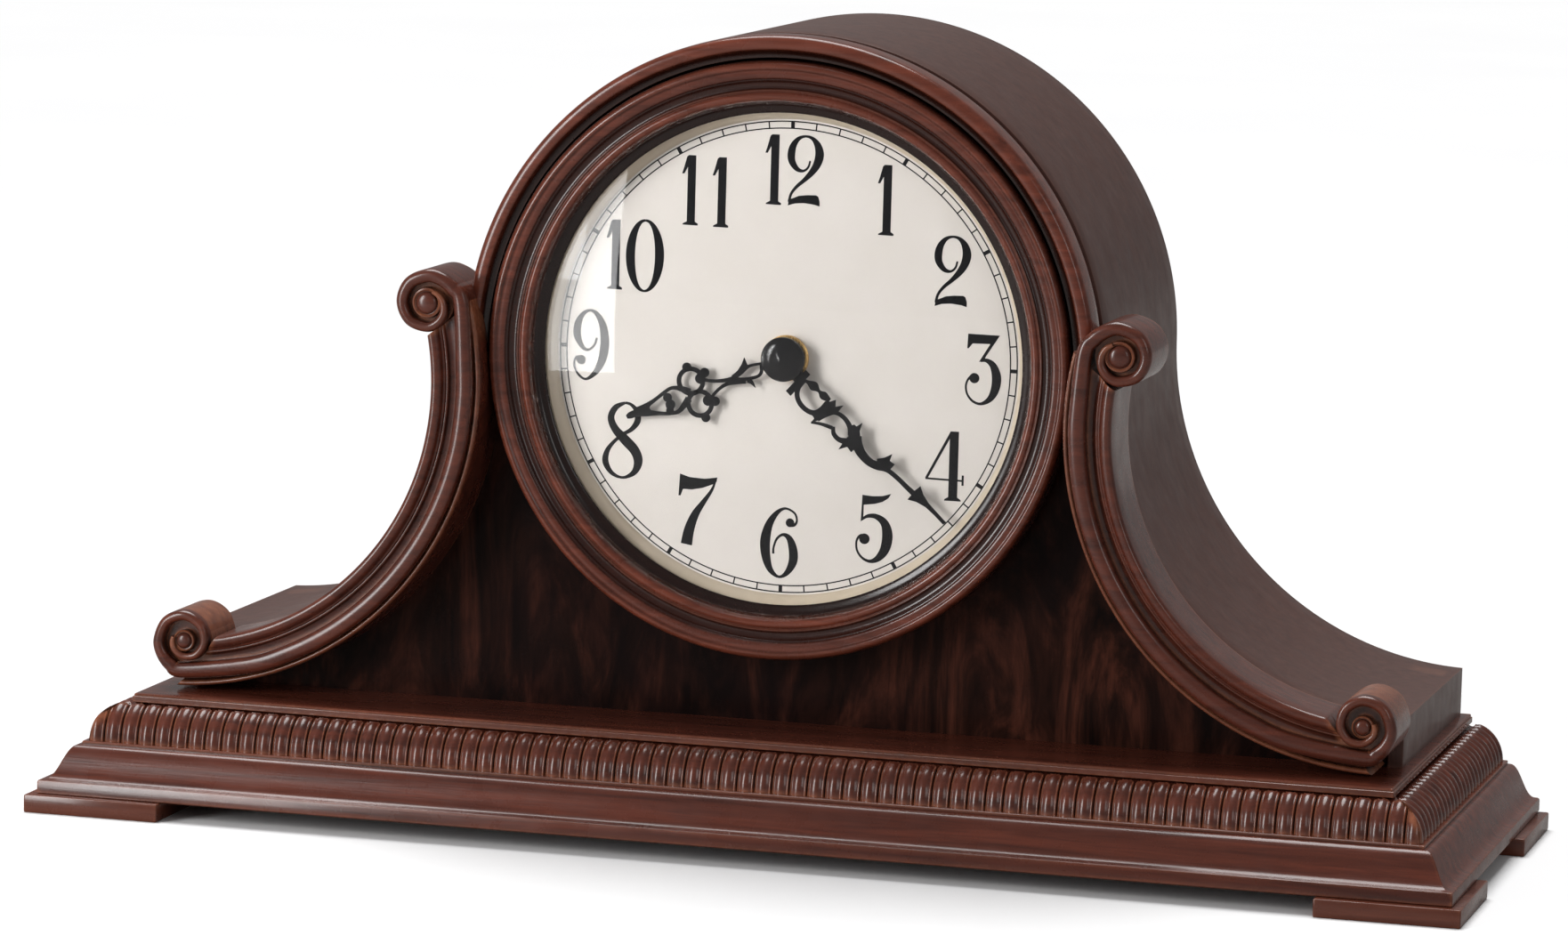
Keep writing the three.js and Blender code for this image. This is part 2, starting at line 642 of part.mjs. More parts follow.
function addHinges() {
  const places = { lower: DOOR_BOTTOM + HINGE_INSET, upper: DOOR_TOP - HINGE_INSET - HINGE_LENGTH };
  for (const [place, bottom] of Object.entries(places)) {
    add(`hinge_${place}_case_leaf`, hingeLeaf(-1, bottom, bottom), brass());
    add(`hinge_${place}_door_leaf`, hingeLeaf(1, bottom, bottom + HINGE_LENGTH / 2), brass());
    add(`hinge_${place}_pin`, rodZ(
      HINGE_PIN_RADIUS, bottom - 0.5, bottom + HINGE_LENGTH + 0.5, hingeAxisX, hingeAxisY, 16,
    ), steel());
  }
}

function addSpeaker() {
  const back = BACK_PANEL_FRONT;
  const r = SPEAKER_RADIUS;
  add('speaker_frame', turned([
    [r - 5, back], [r, back], [r, back - 1.5], [r - 4, back - 1.5], [r - 11, back - 14],
    [r - 16, back - 14], [r - 16, back - 13], [r - 12, back - 13],
  ], 0, SPEAKER_HEIGHT, 32), blackPlastic());
  add('speaker_cone', turned([
    [0, back - 9], [6, back - 9], [r - 7, back - 0.75], [r - 7, back - 2], [6.5, back - 10.5],
    [0, back - 10.5],
  ], 0, SPEAKER_HEIGHT, 24), paperCone());
  add('speaker_magnet', rodY(15, back - 22, back - 14, 0, SPEAKER_HEIGHT, 24), steel());
}

// ---------------------------------------------------------------- bezel, glass and dial

function addBezel() {
  const front = CASE_FRONT - BEZEL_DEPTH;
  const lip = CASE_FRONT - BEZEL_LIP_BACK;
  const r = BEZEL_RADIUS;
  add('bezel_ring', turned([
    [r, CASE_FRONT], [r, front + 4], [r - 0.75, front + 1.25], [r - 2.25, front], [r - 4, front + 0.25],
    [r - 6.5, front + 1], [r - 7.5, front + 2.25], [r - 9.5, front + 4.25], [r - 10.75, front + 4],
    [r - 11.5, front + 3], [r - 13.25, front + 2.75], [r - 15, front + 4], [r - 16, front + 6.75],
    [BEZEL_OPENING, lip - 1.5], [BEZEL_OPENING, lip], [BEZEL_POCKET, lip], [BEZEL_POCKET, CASE_FRONT],
  ], 0, 0, 48), cherry(), dialGroup);
}

/** Domed glass: two spherical faces on a flat rim. */
function addGlass() {
  const rim = BEZEL_POCKET - DIAL_CLEARANCE;
  const sphere = (rim * rim + GLASS_RISE * GLASS_RISE) / (2 * GLASS_RISE);
  const seat = CASE_FRONT - GLASS_SEAT;
  const steps = 5;
  const face = (edge) => {
    const points = [];
    for (let i = 0; i <= steps; i += 1) {
      const radius = rim * i / steps;
      const drop = sphere - Math.sqrt(sphere * sphere - radius * radius);
      points.push([radius, edge - GLASS_RISE + drop]);
    }
    return points;
  };
  const profile = [...face(seat), ...face(seat + GLASS_THICKNESS).reverse()];
  add('glass_dome', turned(profile, 0, 0, 48), clearGlass(), dialGroup);
}

function addDial() {
  const rim = BEZEL_POCKET - DIAL_CLEARANCE;
  const hole = BUSHING_RADIUS + RUNNING_GAP;
  add('dial_plate', tubeY(hole, rim, DIAL_FRONT, CASE_FRONT, 0, 0, 48), ivory(), dialGroup);
  const top = CASE_FRONT - GLASS_SEAT + GLASS_THICKNESS + RUNNING_GAP;
  add('dial_edge_ring', turned([
    [EDGE_RING_FOOT, DIAL_FRONT], [rim, DIAL_FRONT], [rim, top], [EDGE_RING_TOP, top],
  ], 0, 0, 48), khaki(), dialGroup);
}

// ---------------------------------------------------------------- hands

/** Points of a hand drawn pointing up, turned clockwise by an angle and given thickness. */
function handBlade(points, angle, back, boss, bore) {
  const mirrored = [...points].reverse().map(([x, z]) => [-x, z]);
  const turn = -THREE.MathUtils.degToRad(angle);
  const corners = [...points, ...mirrored].map(([x, z]) => {
    const p = new THREE.Vector2(x, z).rotateAround(new THREE.Vector2(0, 0), turn);
    return [p.x, p.y];
  });
  const blade = alongY(outline(corners), back - HAND_THICKNESS, back);
  const hub = rodY(boss, back - HAND_THICKNESS, back, 0, 0, 24);
  return cut(join(blade, hub), rodY(bore, back - HAND_THICKNESS - 1, back + 1, 0, 0, 24));
}

function addHands() {
  const hour = HOUR_HAND_REACH;
  add('hour_hand', handBlade([
    [1.25, 0], [1.25, 0.25 * hour], [4, 0.3 * hour], [1.25, 0.42 * hour], [7, 0.53 * hour],
    [7, 0.62 * hour], [3, 0.72 * hour], [2, 0.8 * hour], [0.5, hour],
  ], HOUR_HAND_ANGLE, HOUR_HAND_BACK, 5, HOUR_PIPE_RADIUS + 0.05), black(), dialGroup);
  const minute = MINUTE_HAND_REACH;
  add('minute_hand', handBlade([
    [1, 0], [1, 0.12 * minute], [3.5, 0.18 * minute], [3.5, 0.3 * minute], [3, 0.42 * minute],
    [1, 0.5 * minute], [1, 0.72 * minute], [3, 0.78 * minute], [1, 0.88 * minute], [0.4, minute],
  ], MINUTE_HAND_ANGLE, MINUTE_HAND_BACK, 4, MINUTE_ARBOR_RADIUS + 0.05), black(), dialGroup);
  add('hub_cap', turned([
    [0, HUB_BACK], [HUB_CAP_RADIUS, HUB_BACK], [HUB_CAP_RADIUS, HUB_BACK - 1.5], [4, HUB_BACK - 4],
    [0, HUB_BACK - 4.5],
  ], 0, 0, 24), black(), dialGroup);
  add('fixing_nut', tubeY(
    BUSHING_RADIUS + RUNNING_GAP, NUT_RADIUS, NUT_FRONT, DIAL_FRONT, 0, 0, 24,
  ), brass(), dialGroup);
  add('rubber_washer', tubeY(
    BUSHING_RADIUS + RUNNING_GAP, 14, CASE_FRONT, MOVEMENT_FRONT, 0, 0, 24,
  ), rubber(), dialGroup);
}

// ---------------------------------------------------------------- movement

function addHousing() {
  const w = MOVEMENT_HALF_WIDTH;
  const t = MOVEMENT_WALL;
  const floor = MOVEMENT_FRONT + t;
  const shell = block(-w, w, MOVEMENT_FRONT, MOVEMENT_BACK, MOVEMENT_BOTTOM, MOVEMENT_TOP);
  const hollow = block(-w + t, w - t, floor, MOVEMENT_BACK + 1, MOVEMENT_BOTTOM + t, MOVEMENT_TOP - t);
  const divider = block(
    -w + 1, w - 1, MOVEMENT_FRONT + 1, MOVEMENT_BACK - 0.5, CELL_TOP_Z + 7.5, CELL_TOP_Z + 8.5,
  );
  const bushing = rodY(BUSHING_RADIUS, BUSHING_FRONT, floor, 0, 0, 24);
  const bore = rodY(BUSHING_BORE, BUSHING_FRONT - 1, floor + 1, 0, 0, 24);
  add('movement_housing', cut(join(cut(shell, hollow), divider, bushing), bore), blackPlastic(), dialGroup);
}

function addCover() {
  const w = MOVEMENT_HALF_WIDTH;
  const plate = block(-w, w, MOVEMENT_BACK, COVER_BACK, MOVEMENT_BOTTOM, MOVEMENT_TOP);
  const y0 = MOVEMENT_BACK - 1;
  const y1 = COVER_BACK + 1;
  const slot = ([x0, x1]) => block(x0, x1, y0, y1, SLOT_Z, SLOT_Z + SLOT_HEIGHT);
  const bay = block(-29, 29, y0, y1, CELL_BOTTOM_Z - CELL_RADIUS - 0.5, CELL_TOP_Z + CELL_RADIUS);
  add('movement_cover', cut(
    plate, bay, slot(CHIME_SLOT), slot(NIGHT_SLOT),
    rodY(STEM_RADIUS + RUNNING_GAP, y0, y1, INTERMEDIATE_X, 0),
    rodY(1.5 + RUNNING_GAP, y0, y1, VOLUME.x, VOLUME.z),
  ), blackPlastic(), dialGroup);
  add('battery_cover', block(
    -31, 31, COVER_BACK + RUNNING_GAP, COVER_BACK + 1.75, MOVEMENT_BOTTOM, CELL_TOP_Z + CELL_RADIUS + 1.5,
  ), greyPlastic(), dialGroup);
}

function addCells() {
  const half = CELL_LENGTH / 2;
  const nub = 1.5;
  const cell = (z, sign) => {
    const body = turned([
      [0, -half * sign], [CELL_RADIUS, -half * sign], [CELL_RADIUS, (half - nub) * sign],
      [2.75, (half - nub) * sign], [2.75, half * sign], [0, half * sign],
    ], 0, 0, 20);
    return body.applyMatrix4(ALONG_X).applyMatrix4(ALONG_X).translate(0, CELL_Y, z);
  };
  add('battery_cell_upper', cell(CELL_TOP_Z, 1), cellWrap(), dialGroup);
  add('battery_cell_lower', cell(CELL_BOTTOM_Z, -1), cellWrap(), dialGroup);
  add('battery_contact', block(
    half + RUNNING_GAP, half + 1, CELL_Y - 5, CELL_Y + 5, CELL_BOTTOM_Z - 5, CELL_TOP_Z + 5,
  ), steel(), dialGroup);
}

/** Motion works: the arbor drives the intermediate wheel, 10 to 30, and that the hour wheel, 8 to 32. */
function addMotionWorks() {
  const base = MOVEMENT_FRONT;
  const x = INTERMEDIATE_X;
  const hourWheel = join(
    gear(32, base + 3, base + 4.25, 0, 0, 180 / 32),
    rodY(HOUR_PIPE_RADIUS, HOUR_HAND_BACK - HAND_THICKNESS - 0.25, base + 3.5, 0, 0, 24),
  );
  const pipeBore = rodY(HOUR_PIPE_BORE, HOUR_HAND_BACK - 3, base + 6, 0, 0, 24);
  add('hour_wheel', cut(hourWheel, pipeBore), nylon(), dialGroup);
  add('intermediate_wheel', join(
    gear(8, base + 2.75, base + 6, x, 0, 180),
    gear(30, base + 5.75, base + 7, x, 0, 180 + 180 / 30),
    rodY(STEM_RADIUS, base + 6.5, COVER_BACK + 1, x, 0),
  ), nylon(), dialGroup);
  add('minute_arbor', join(
    rodY(MINUTE_ARBOR_RADIUS, MINUTE_HAND_BACK - HAND_THICKNESS, base + 6, 0, 0),
    gear(10, base + 5.5, base + 7.25, 0, 0, 0),
    rodY(MINUTE_ARBOR_RADIUS - 0.25, base + 7, base + 10, 0, 0),
    gear(24, base + 8.75, base + 9.75, 0, 0, 180),
  ), steel(), dialGroup);
}

/** Step motor and reduction wheel that drive the arbor's rear wheel. */
function addMotor() {
  const base = MOVEMENT_FRONT;
  add('reduction_wheel', join(
    rodY(0.75, base + 7.5, base + 13.25, REDUCTION_X, 0, 12),
    gear(8, base + 8.5, base + 10.5, REDUCTION_X, 0, 180 / 8),
    gear(40, base + 10.75, base + 11.75, REDUCTION_X, 0, 135),
    rodY(1.25, base + 10, base + 11, REDUCTION_X, 0, 12),
  ), nylon(), dialGroup);
  add('motor_rotor', join(
    rodY(3, base + 5, base + 8, ROTOR_X, ROTOR_Z, 20),
    rodY(0.75, base + 2.5, base + 13.25, ROTOR_X, ROTOR_Z, 12),
    gear(8, base + 10.5, base + 12, ROTOR_X, ROTOR_Z, 315 + 180 / 8),
  ), steel(), dialGroup);
  const stator = block(-46, ROTOR_X + 5, base + 6, base + 6.75, ROTOR_Z - 5, ROTOR_Z + 12);
  add('motor_stator', cut(stator, rodY(4, base + 5, base + 8, ROTOR_X, ROTOR_Z, 20)), steel(), dialGroup);
  const spool = turned([
    [1.25, -8], [6, -8], [6, -7.25], [4.5, -7.25], [4.5, 7.25], [6, 7.25], [6, 8], [1.25, 8],
  ], 0, 0, 20);
  spool.applyMatrix4(ALONG_X).applyMatrix4(ALONG_X).translate(-35, base + 13.5, ROTOR_Z + 7);
  add('motor_coil', spool, copper(), dialGroup);
  const plate = block(-44, 12.5, base + 13.5, base + 14.5, -9, 0.5 + ROTOR_Z + 4);
  add('train_plate', cut(
    cut(plate, block(-60, -24, base, base + 20, ROTOR_Z - 6, ROTOR_Z + 20)),
    rodY(STEM_RADIUS + RUNNING_GAP, base + 13, base + 15, INTERMEDIATE_X, 0, 16),
  ), nylon(), dialGroup);
}

function addControls() {
  const base = COVER_BACK;
  add('circuit_board', block(16, 46, MOVEMENT_BACK - 6.5, MOVEMENT_BACK - 5, -6, 30), board(), dialGroup);
  add('volume_knob', turned([
    [0, MOVEMENT_BACK - 4.5], [1.5, MOVEMENT_BACK - 4.5], [1.5, base + RUNNING_GAP],
    [5.5, base + RUNNING_GAP], [5.5, base + 4.25], [4.75, base + 5], [0, base + 5],
  ], VOLUME.x, VOLUME.z, 20), greyPlastic(), dialGroup);
  add('set_knob', turned([
    [0, base + 1], [8, base + 1], [8, base + 5.5], [7.25, base + 6.25], [0, base + 6.25],
  ], INTERMEDIATE_X, 0, 24), greyPlastic(), dialGroup);
  const tab = (start) => block(
    start + 0.5, start + 0.5 + TAB_WIDTH, MOVEMENT_BACK - 3, base + 2.5,
    SLOT_Z + RUNNING_GAP, SLOT_Z + SLOT_HEIGHT - RUNNING_GAP,
  );
  add('chime_selector', tab(CHIME_SLOT[0]), greyPlastic(), dialGroup);
  add('night_switch', tab(NIGHT_SLOT[0]), greyPlastic(), dialGroup);
}

addFeet();
addBaseBoard();
addReededStrips();
addCapBoard();
addCaseWrap();
addFrontPanel();
addHoodAndScrolls();
addBackPanel();
addBackScrews();
addDoor();
addHinges();
addSpeaker();
addBezel();
addGlass();
addDial();
addHands();
addHousing();
addCover();
addCells();
addMotionWorks();
addMotor();
addControls();

export default clock;
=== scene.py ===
"""Looks of a tambour mantel clock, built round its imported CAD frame.

Lengths below are millimetres unless a name says otherwise; Shape turns them into metres.
+Z is up, -Y is the front, and the origin is the middle of the footprint.
"""
import json
from math import asin, atan2, cos, degrees, hypot, pi, radians, sin, sqrt

import bmesh
import bpy
from mathutils import Matrix, Vector


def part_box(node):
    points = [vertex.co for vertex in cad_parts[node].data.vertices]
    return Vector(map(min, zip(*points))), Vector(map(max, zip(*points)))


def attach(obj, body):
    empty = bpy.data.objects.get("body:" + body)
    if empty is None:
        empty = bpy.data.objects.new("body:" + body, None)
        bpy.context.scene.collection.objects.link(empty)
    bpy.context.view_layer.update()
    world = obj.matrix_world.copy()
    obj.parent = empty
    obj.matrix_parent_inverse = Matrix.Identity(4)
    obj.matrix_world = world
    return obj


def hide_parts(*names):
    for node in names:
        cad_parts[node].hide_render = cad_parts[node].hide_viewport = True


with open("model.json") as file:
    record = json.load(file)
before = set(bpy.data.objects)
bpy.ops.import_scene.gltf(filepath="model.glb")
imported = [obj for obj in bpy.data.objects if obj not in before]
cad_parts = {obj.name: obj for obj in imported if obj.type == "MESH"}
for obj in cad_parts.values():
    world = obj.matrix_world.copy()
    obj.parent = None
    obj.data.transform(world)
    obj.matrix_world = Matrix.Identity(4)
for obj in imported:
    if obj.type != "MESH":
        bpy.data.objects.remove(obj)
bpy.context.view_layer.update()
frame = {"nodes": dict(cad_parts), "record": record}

MM = 0.001
NODES = frame["nodes"]


# ---- places read from the frame

def low(node):
    """Lowest corner of a CAD node in millimetres."""
    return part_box(node)[0] / MM


def high(node):
    """Highest corner of a CAD node in millimetres."""
    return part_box(node)[1] / MM


HALF_WIDTH = high("case_wrap").x
BACK = high("case_wrap").y
CASE_FRONT = low("case_wrap").y
CASE_BOTTOM = low("case_wrap").z
HOOD_TOP = high("case_wrap").z
HOOD_RADIUS = high("hood_arch").x
DIAL_Z = HOOD_TOP - HOOD_RADIUS
BEZEL_RADIUS = high("bezel_ring").x
BEZEL_FRONT = low("bezel_ring").y
ARCH_FRONT = low("hood_arch").y
SCROLL_FRONT = low("scroll_right").y
DIAL_FRONT = low("dial_plate").y
PANEL_BACK = high("front_panel").y
CAP_STEP = high("cap_board").x - HALF_WIDTH
STEP_FRONT = low("cap_board").y + CAP_STEP
CAP_BOTTOM = low("cap_board").z
REED_STEP = high("reeded_strip_right").x - HALF_WIDTH
REED_BOTTOM = low("reeded_strip_right").z
PLINTH_STEP = high("base_board").x - HALF_WIDTH
PLINTH_BOTTOM = low("base_board").z

# Shapes of the case that its box does not tell.
CASE_WALL = 6
SWEEP_RADIUS = 118.5
PANEL_GAP = 0.25
PANEL_BORE = 80
OGEE_BOTTOM = 12
FILLET_BOTTOM = 24.25
FILLET_STEP = 18.75
ARCH_INNER_RADIUS = 111
CLEATS = [(105.75, 178.25, 20.0, 16.0), (216.75, 51.25, 28.0, 17.0)]    # x, z, width, height
CLEAT_SPAN = (76.0, 88.0)


# ---- mesh building

def smooth_path(points, steps):
    """Catmull-Rom curve through points of any number of values each."""
    ends = [points[0], *points, points[-1]]
    out = []
    for i in range(1, len(ends) - 2):
        p0, p1, p2, p3 = ends[i - 1:i + 3]
        for k in range(steps):
            t = k / steps
            out.append(tuple(
                0.5 * (2 * b + (c - a) * t + (2 * a - 5 * b + 4 * c - d) * t * t
                       + (3 * b - a - 3 * c + d) * t ** 3)
                for a, b, c, d in zip(p0, p1, p2, p3)
            ))
    out.append(tuple(points[-1]))
    return out


def soften(points, times=2, closed=True):
    """Cut the corners of a polyline, so that each turn becomes a small round."""
    for _ in range(times):
        cut = []
        count = len(points)
        for i in range(count if closed else count - 1):
            a, b = points[i], points[(i + 1) % count]
            cut.append(tuple(0.75 * p + 0.25 * q for p, q in zip(a, b)))
            cut.append(tuple(0.25 * p + 0.75 * q for p, q in zip(a, b)))
        points = cut if closed else [points[0], *cut[1:-1], points[-1]]
    return points


def arc(cx, cy, radius, start, end, steps):
    """Points on a circle from start to end in degrees."""
    angles = [radians(start + (end - start) * i / steps) for i in range(steps + 1)]
    return [(cx + radius * cos(a), cy + radius * sin(a)) for a in angles]


def area(points):
    pairs = zip(points, points[1:] + points[:1])
    return sum(a[0] * b[1] - b[0] * a[1] for a, b in pairs) / 2


def inset(points, by):
    """Closed outline moved inwards by a small distance."""
    side = 1 if area(points) > 0 else -1
    out = []
    count = len(points)
    for i in range(count):
        (ax, ay), (bx, by_), (cx, cy) = points[i - 1], points[i], points[(i + 1) % count]
        d1 = Vector((bx - ax, by_ - ay)).normalized()
        d2 = Vector((cx - bx, cy - by_)).normalized()
        n = Vector((-(d1.y + d2.y), d1.x + d2.x)).normalized() * side
        spread = max(0.4, n.dot(Vector((-d1.y, d1.x)) * side))
        out.append((bx + n.x * by / spread, by_ + n.y * by / spread))
    return out


class Shape:
    """Closed bodies gathered into one mesh."""

    def __init__(self):
        self.verts = []
        self.faces = []

    def add(self, verts, faces):
        base = len(self.verts)
        self.verts += [tuple(v) for v in verts]
        self.faces += [[base + i for i in f] for f in faces]

    def loft(self, rings, loop=False):
        """Skin over closed rings of equal length; the ends are capped unless the rings form a loop."""
        count = len(rings[0])
        verts = [p for ring in rings for p in ring]
        faces = []
        spans = len(rings) if loop else len(rings) - 1
        for r in range(spans):
            a, b = r * count, (r + 1) % len(rings) * count
            for i in range(count):
                j = (i + 1) % count
                faces.append([a + i, a + j, b + j, b + i])
        if not loop:
            last = (len(rings) - 1) * count
            faces.append([count - 1 - i for i in range(count)])
            faces.append([last + i for i in range(count)])
        self.add(verts, faces)

    def turned(self, profile, x=0.0, z=DIAL_Z, steps=192, start=0.0, end=360.0):
        """Closed (radius, y) outline turned about the Y direction; angles run clockwise from the top."""
        whole = end - start >= 360
        rings = []
        for i in range(steps if whole else steps + 1):
            a = radians(start + (end - start) * i / steps)
            rings.append([(x + r * sin(a), y, z + r * cos(a)) for r, y in profile])
        self.loft(rings, loop=whole)

    def dome(self, profile, x=0.0, z=DIAL_Z, steps=64):
        """Solid of revolution whose (radius, y) profile starts and ends on the axis."""
        inner = profile[1:-1]
        verts = [(x, profile[0][1], z), (x, profile[-1][1], z)]
        faces = []
        count = len(inner)
        for i in range(steps):
            a = 2 * pi * i / steps
            verts += [(x + r * sin(a), y, z + r * cos(a)) for r, y in inner]
            here, there = 2 + i * count, 2 + (i + 1) % steps * count
            faces.append([0, here, there])
            faces.append([1, there + count - 1, here + count - 1])
            for k in range(count - 1):
                faces.append([here + k, here + k + 1, there + k + 1, there + k])
        self.add(verts, faces)

    def prism(self, outline, front, back, edge=0.0):
        """(x, z) outline given depth along Y, with both rims broken by edge."""
        layers = [(back, 0.0), (front, 0.0)]
        if edge:
            layers = [(back, edge), (back - edge, 0.0), (front + edge, 0.0), (front, edge)]
        rings = []
        for y, by in layers:
            line = inset(outline, by) if by else outline
            rings.append([(px, y, pz) for px, pz in line])
        self.loft(rings)

    def board(self, outlines, front, back):
        """Flat board between two depths; the first (x, z) outline is its rim and the others its holes."""
        bm = bmesh.new()
        edges = []
        for line in outlines:
            verts = [bm.verts.new((x, back, z)) for x, z in line]
            edges += [bm.edges.new(pair) for pair in zip(verts, verts[1:] + verts[:1])]
        bmesh.ops.triangle_fill(bm, edges=edges, use_beauty=True)
        made = bmesh.ops.extrude_face_region(bm, geom=bm.faces[:], use_keep_orig=True)
        moved = [v for v in made["geom"] if isinstance(v, bmesh.types.BMVert)]
        bmesh.ops.translate(bm, verts=moved, vec=(0, front - back, 0))
        bm.verts.index_update()
        self.add([v.co for v in bm.verts], [[v.index for v in f.verts] for f in bm.faces])
        bm.free()

    def slab(self, x0, x1, y0, y1, z0, z1, edge=0.5):
        """Block with rounded rims and corners."""
        rings = []
        for z, by in [(z0, edge), (z0 + 0.3 * edge, 0.3 * edge), (z0 + edge, 0.0),
                      (z1 - edge, 0.0), (z1 - 0.3 * edge, 0.3 * edge), (z1, edge)]:
            xa, xb, ya, yb, r = x0 + by, x1 - by, y0 + by, y1 - by, max(edge - by, 0.05)
            ring = [*arc(xb - r, yb - r, r, 0, 90, 3), *arc(xa + r, yb - r, r, 90, 180, 3),
                    *arc(xa + r, ya + r, r, 180, 270, 3), *arc(xb - r, ya + r, r, 270, 360, 3)]
            rings.append([(px, py, z) for px, py in ring])
        self.loft(rings)

    def moulding(self, profile, corner=0.5):
        """(offset, z) profile run along the front and both ends of the case, with mitred corners."""
        rings = []
        for offset, z in profile:
            x, y = HALF_WIDTH + offset, STEP_FRONT - offset
            ring = [(-x, BACK), *arc(-x + corner, y + corner, corner, 180, 270, 3),
                    *arc(x - corner, y + corner, corner, 270, 360, 3), (x, BACK)]
            rings.append([(px, py, z) for px, py in ring])
        self.loft(rings)

    def ribbon(self, path, section):
        """Section swept along (x, z, width) points; section gives (side, y) pairs for a width."""
        rings = []
        count = len(path)
        for i, (x, z, *rest) in enumerate(path):
            ax, az = path[max(i - 1, 0)][:2]
            bx, bz = path[min(i + 1, count - 1)][:2]
            long = hypot(bx - ax, bz - az) or 1.0
            nx, nz = (bz - az) / long, -(bx - ax) / long
            rings.append([(x + nx * s, y, z + nz * s) for s, y in section(*rest)])
        self.loft(rings)

    def build(self, name, body, slot, nodes=(), angle=35, mirror=False, finish=None):
        """Make the object, hang it on its body's empty, and hide the CAD nodes that it stands for.

        Its finish is that of its slot unless another one is named.
        """
        side = -1 if mirror else 1
        mesh = bpy.data.meshes.new(name)
        mesh.from_pydata([(side * x * MM, y * MM, z * MM) for x, y, z in self.verts], [], self.faces)
        mesh.validate()
        tidy_normals(mesh)
        mesh.polygons.foreach_set("use_smooth", [True] * len(mesh.polygons))
        mesh.set_sharp_from_angle(angle=radians(angle))
        mesh.materials.append(MATERIAL[finish or slot])
        obj = bpy.data.objects.new(name, mesh)
        bpy.context.scene.collection.objects.link(obj)
        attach(obj, body)
        if nodes:
            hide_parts(*nodes)
        return obj


def tidy_normals(mesh):
    """Turn the faces of every closed body outwards."""
    bm = bmesh.new()
    bm.from_mesh(mesh)
    bmesh.ops.recalc_face_normals(bm, faces=bm.faces)
    bm.to_mesh(mesh)
    bm.free()


# ---- materials

class Nodes:
    """A material's node tree with short calls for the nodes used here."""

    def __init__(self, name):
        self.material = bpy.data.materials.new(name)
        self.material.use_nodes = True
        self.tree = self.material.node_tree
        self.tree.nodes.clear()
        self.out = self.node("ShaderNodeOutputMaterial")
        self.place = self.node("ShaderNodeTexCoord").outputs["Object"]

    def node(self, kind, inputs=None, **settings):
        made = self.tree.nodes.new(kind)
        for key, value in settings.items():
            setattr(made, key, value)
        for key, value in (inputs or {}).items():
            self.feed(made.inputs[key], value)
        return made

    def feed(self, socket, value):
        if isinstance(value, bpy.types.NodeSocket):
            self.tree.links.new(value, socket)
        else:
            socket.default_value = value

    def mapped(self, scale, rotation=(0, 0, 0)):
        return self.node("ShaderNodeMapping", {
            "Vector": self.place, "Scale": scale, "Rotation": rotation,
        }).outputs["Vector"]

    def noise(self, vector, scale, detail=4.0, roughness=0.55, distortion=0.0):
        return self.node("ShaderNodeTexNoise", {
            "Vector": vector, "Scale": scale, "Detail": detail, "Roughness": roughness,
            "Distortion": distortion,
        }).outputs["Fac"]

    def ramp(self, value, stops):
        node = self.node("ShaderNodeValToRGB", {"Fac": value})
        line = node.color_ramp
        while len(line.elements) < len(stops):
            line.elements.new(0.5)
        for element, (place, colour) in zip(line.elements, stops):
            element.position = place
            element.color = (*colour, 1) if hasattr(colour, "__len__") else (colour, colour, colour, 1)
        return node.outputs["Color"]

    def mix(self, share, first, second, blend="MIX"):
        node = self.node("ShaderNodeMix", data_type="RGBA", blend_type=blend)
        self.feed(node.inputs[0], share)
        self.feed(node.inputs[6], (*first, 1) if isinstance(first, tuple) else first)
        self.feed(node.inputs[7], (*second, 1) if isinstance(second, tuple) else second)
        return node.outputs[2]

    def sum(self, first, second, operation="ADD"):
        node = self.node("ShaderNodeMath", operation=operation)
        self.feed(node.inputs[0], first)
        self.feed(node.inputs[1], second)
        return node.outputs[0]

    def span(self, value, low_in, high_in, low_out=0.0, high_out=1.0):
        return self.node("ShaderNodeMapRange", {
            "Value": value, "From Min": low_in, "From Max": high_in, "To Min": low_out, "To Max": high_out,
        }).outputs["Result"]

    def hollow(self, distance, inside=False):
        """1 on open faces, falling to 0 in a groove, or on a sharp edge when inside."""
        return self.node("ShaderNodeAmbientOcclusion", {"Distance": distance}, samples=6,
                         inside=inside, only_local=True).outputs["AO"]

    def bump(self, height, strength, distance):
        return self.node("ShaderNodeBump", {
            "Height": height, "Strength": strength, "Distance": distance,
        }).outputs["Normal"]

    def finish(self, colour, roughness, normal=None, **sockets):
        shader = self.node("ShaderNodeBsdfPrincipled", {"Base Color": colour, "Roughness": roughness})
        if normal is not None:
            self.feed(shader.inputs["Normal"], normal)
        for key, value in sockets.items():
            shader.inputs[key.replace("_", " ")].default_value = value
        self.tree.links.new(shader.outputs[0], self.out.inputs["Surface"])
        return self.material


GRAIN = {"x": (0.06, 1.0, 1.0), "y": (1.0, 0.06, 1.0), "z": (1.0, 1.0, 0.06)}


def ring_shade(n, rings):
    """Painted shade from 0 to 1 by distance from the middle of the dial, through (radius, darkness) pairs.
    """
    first, last = rings[0][0], rings[-1][0]
    away = n.node("ShaderNodeVectorMath", {0: n.mapped((1, 0, 1)), 1: (0, 0, DIAL_Z * MM)},
                  operation="DISTANCE").outputs["Value"]
    share = n.span(away, first * MM, last * MM, 0.0, 1.0)
    return n.ramp(share, [((r - first) / (last - first), (dark,) * 3) for r, dark in rings])


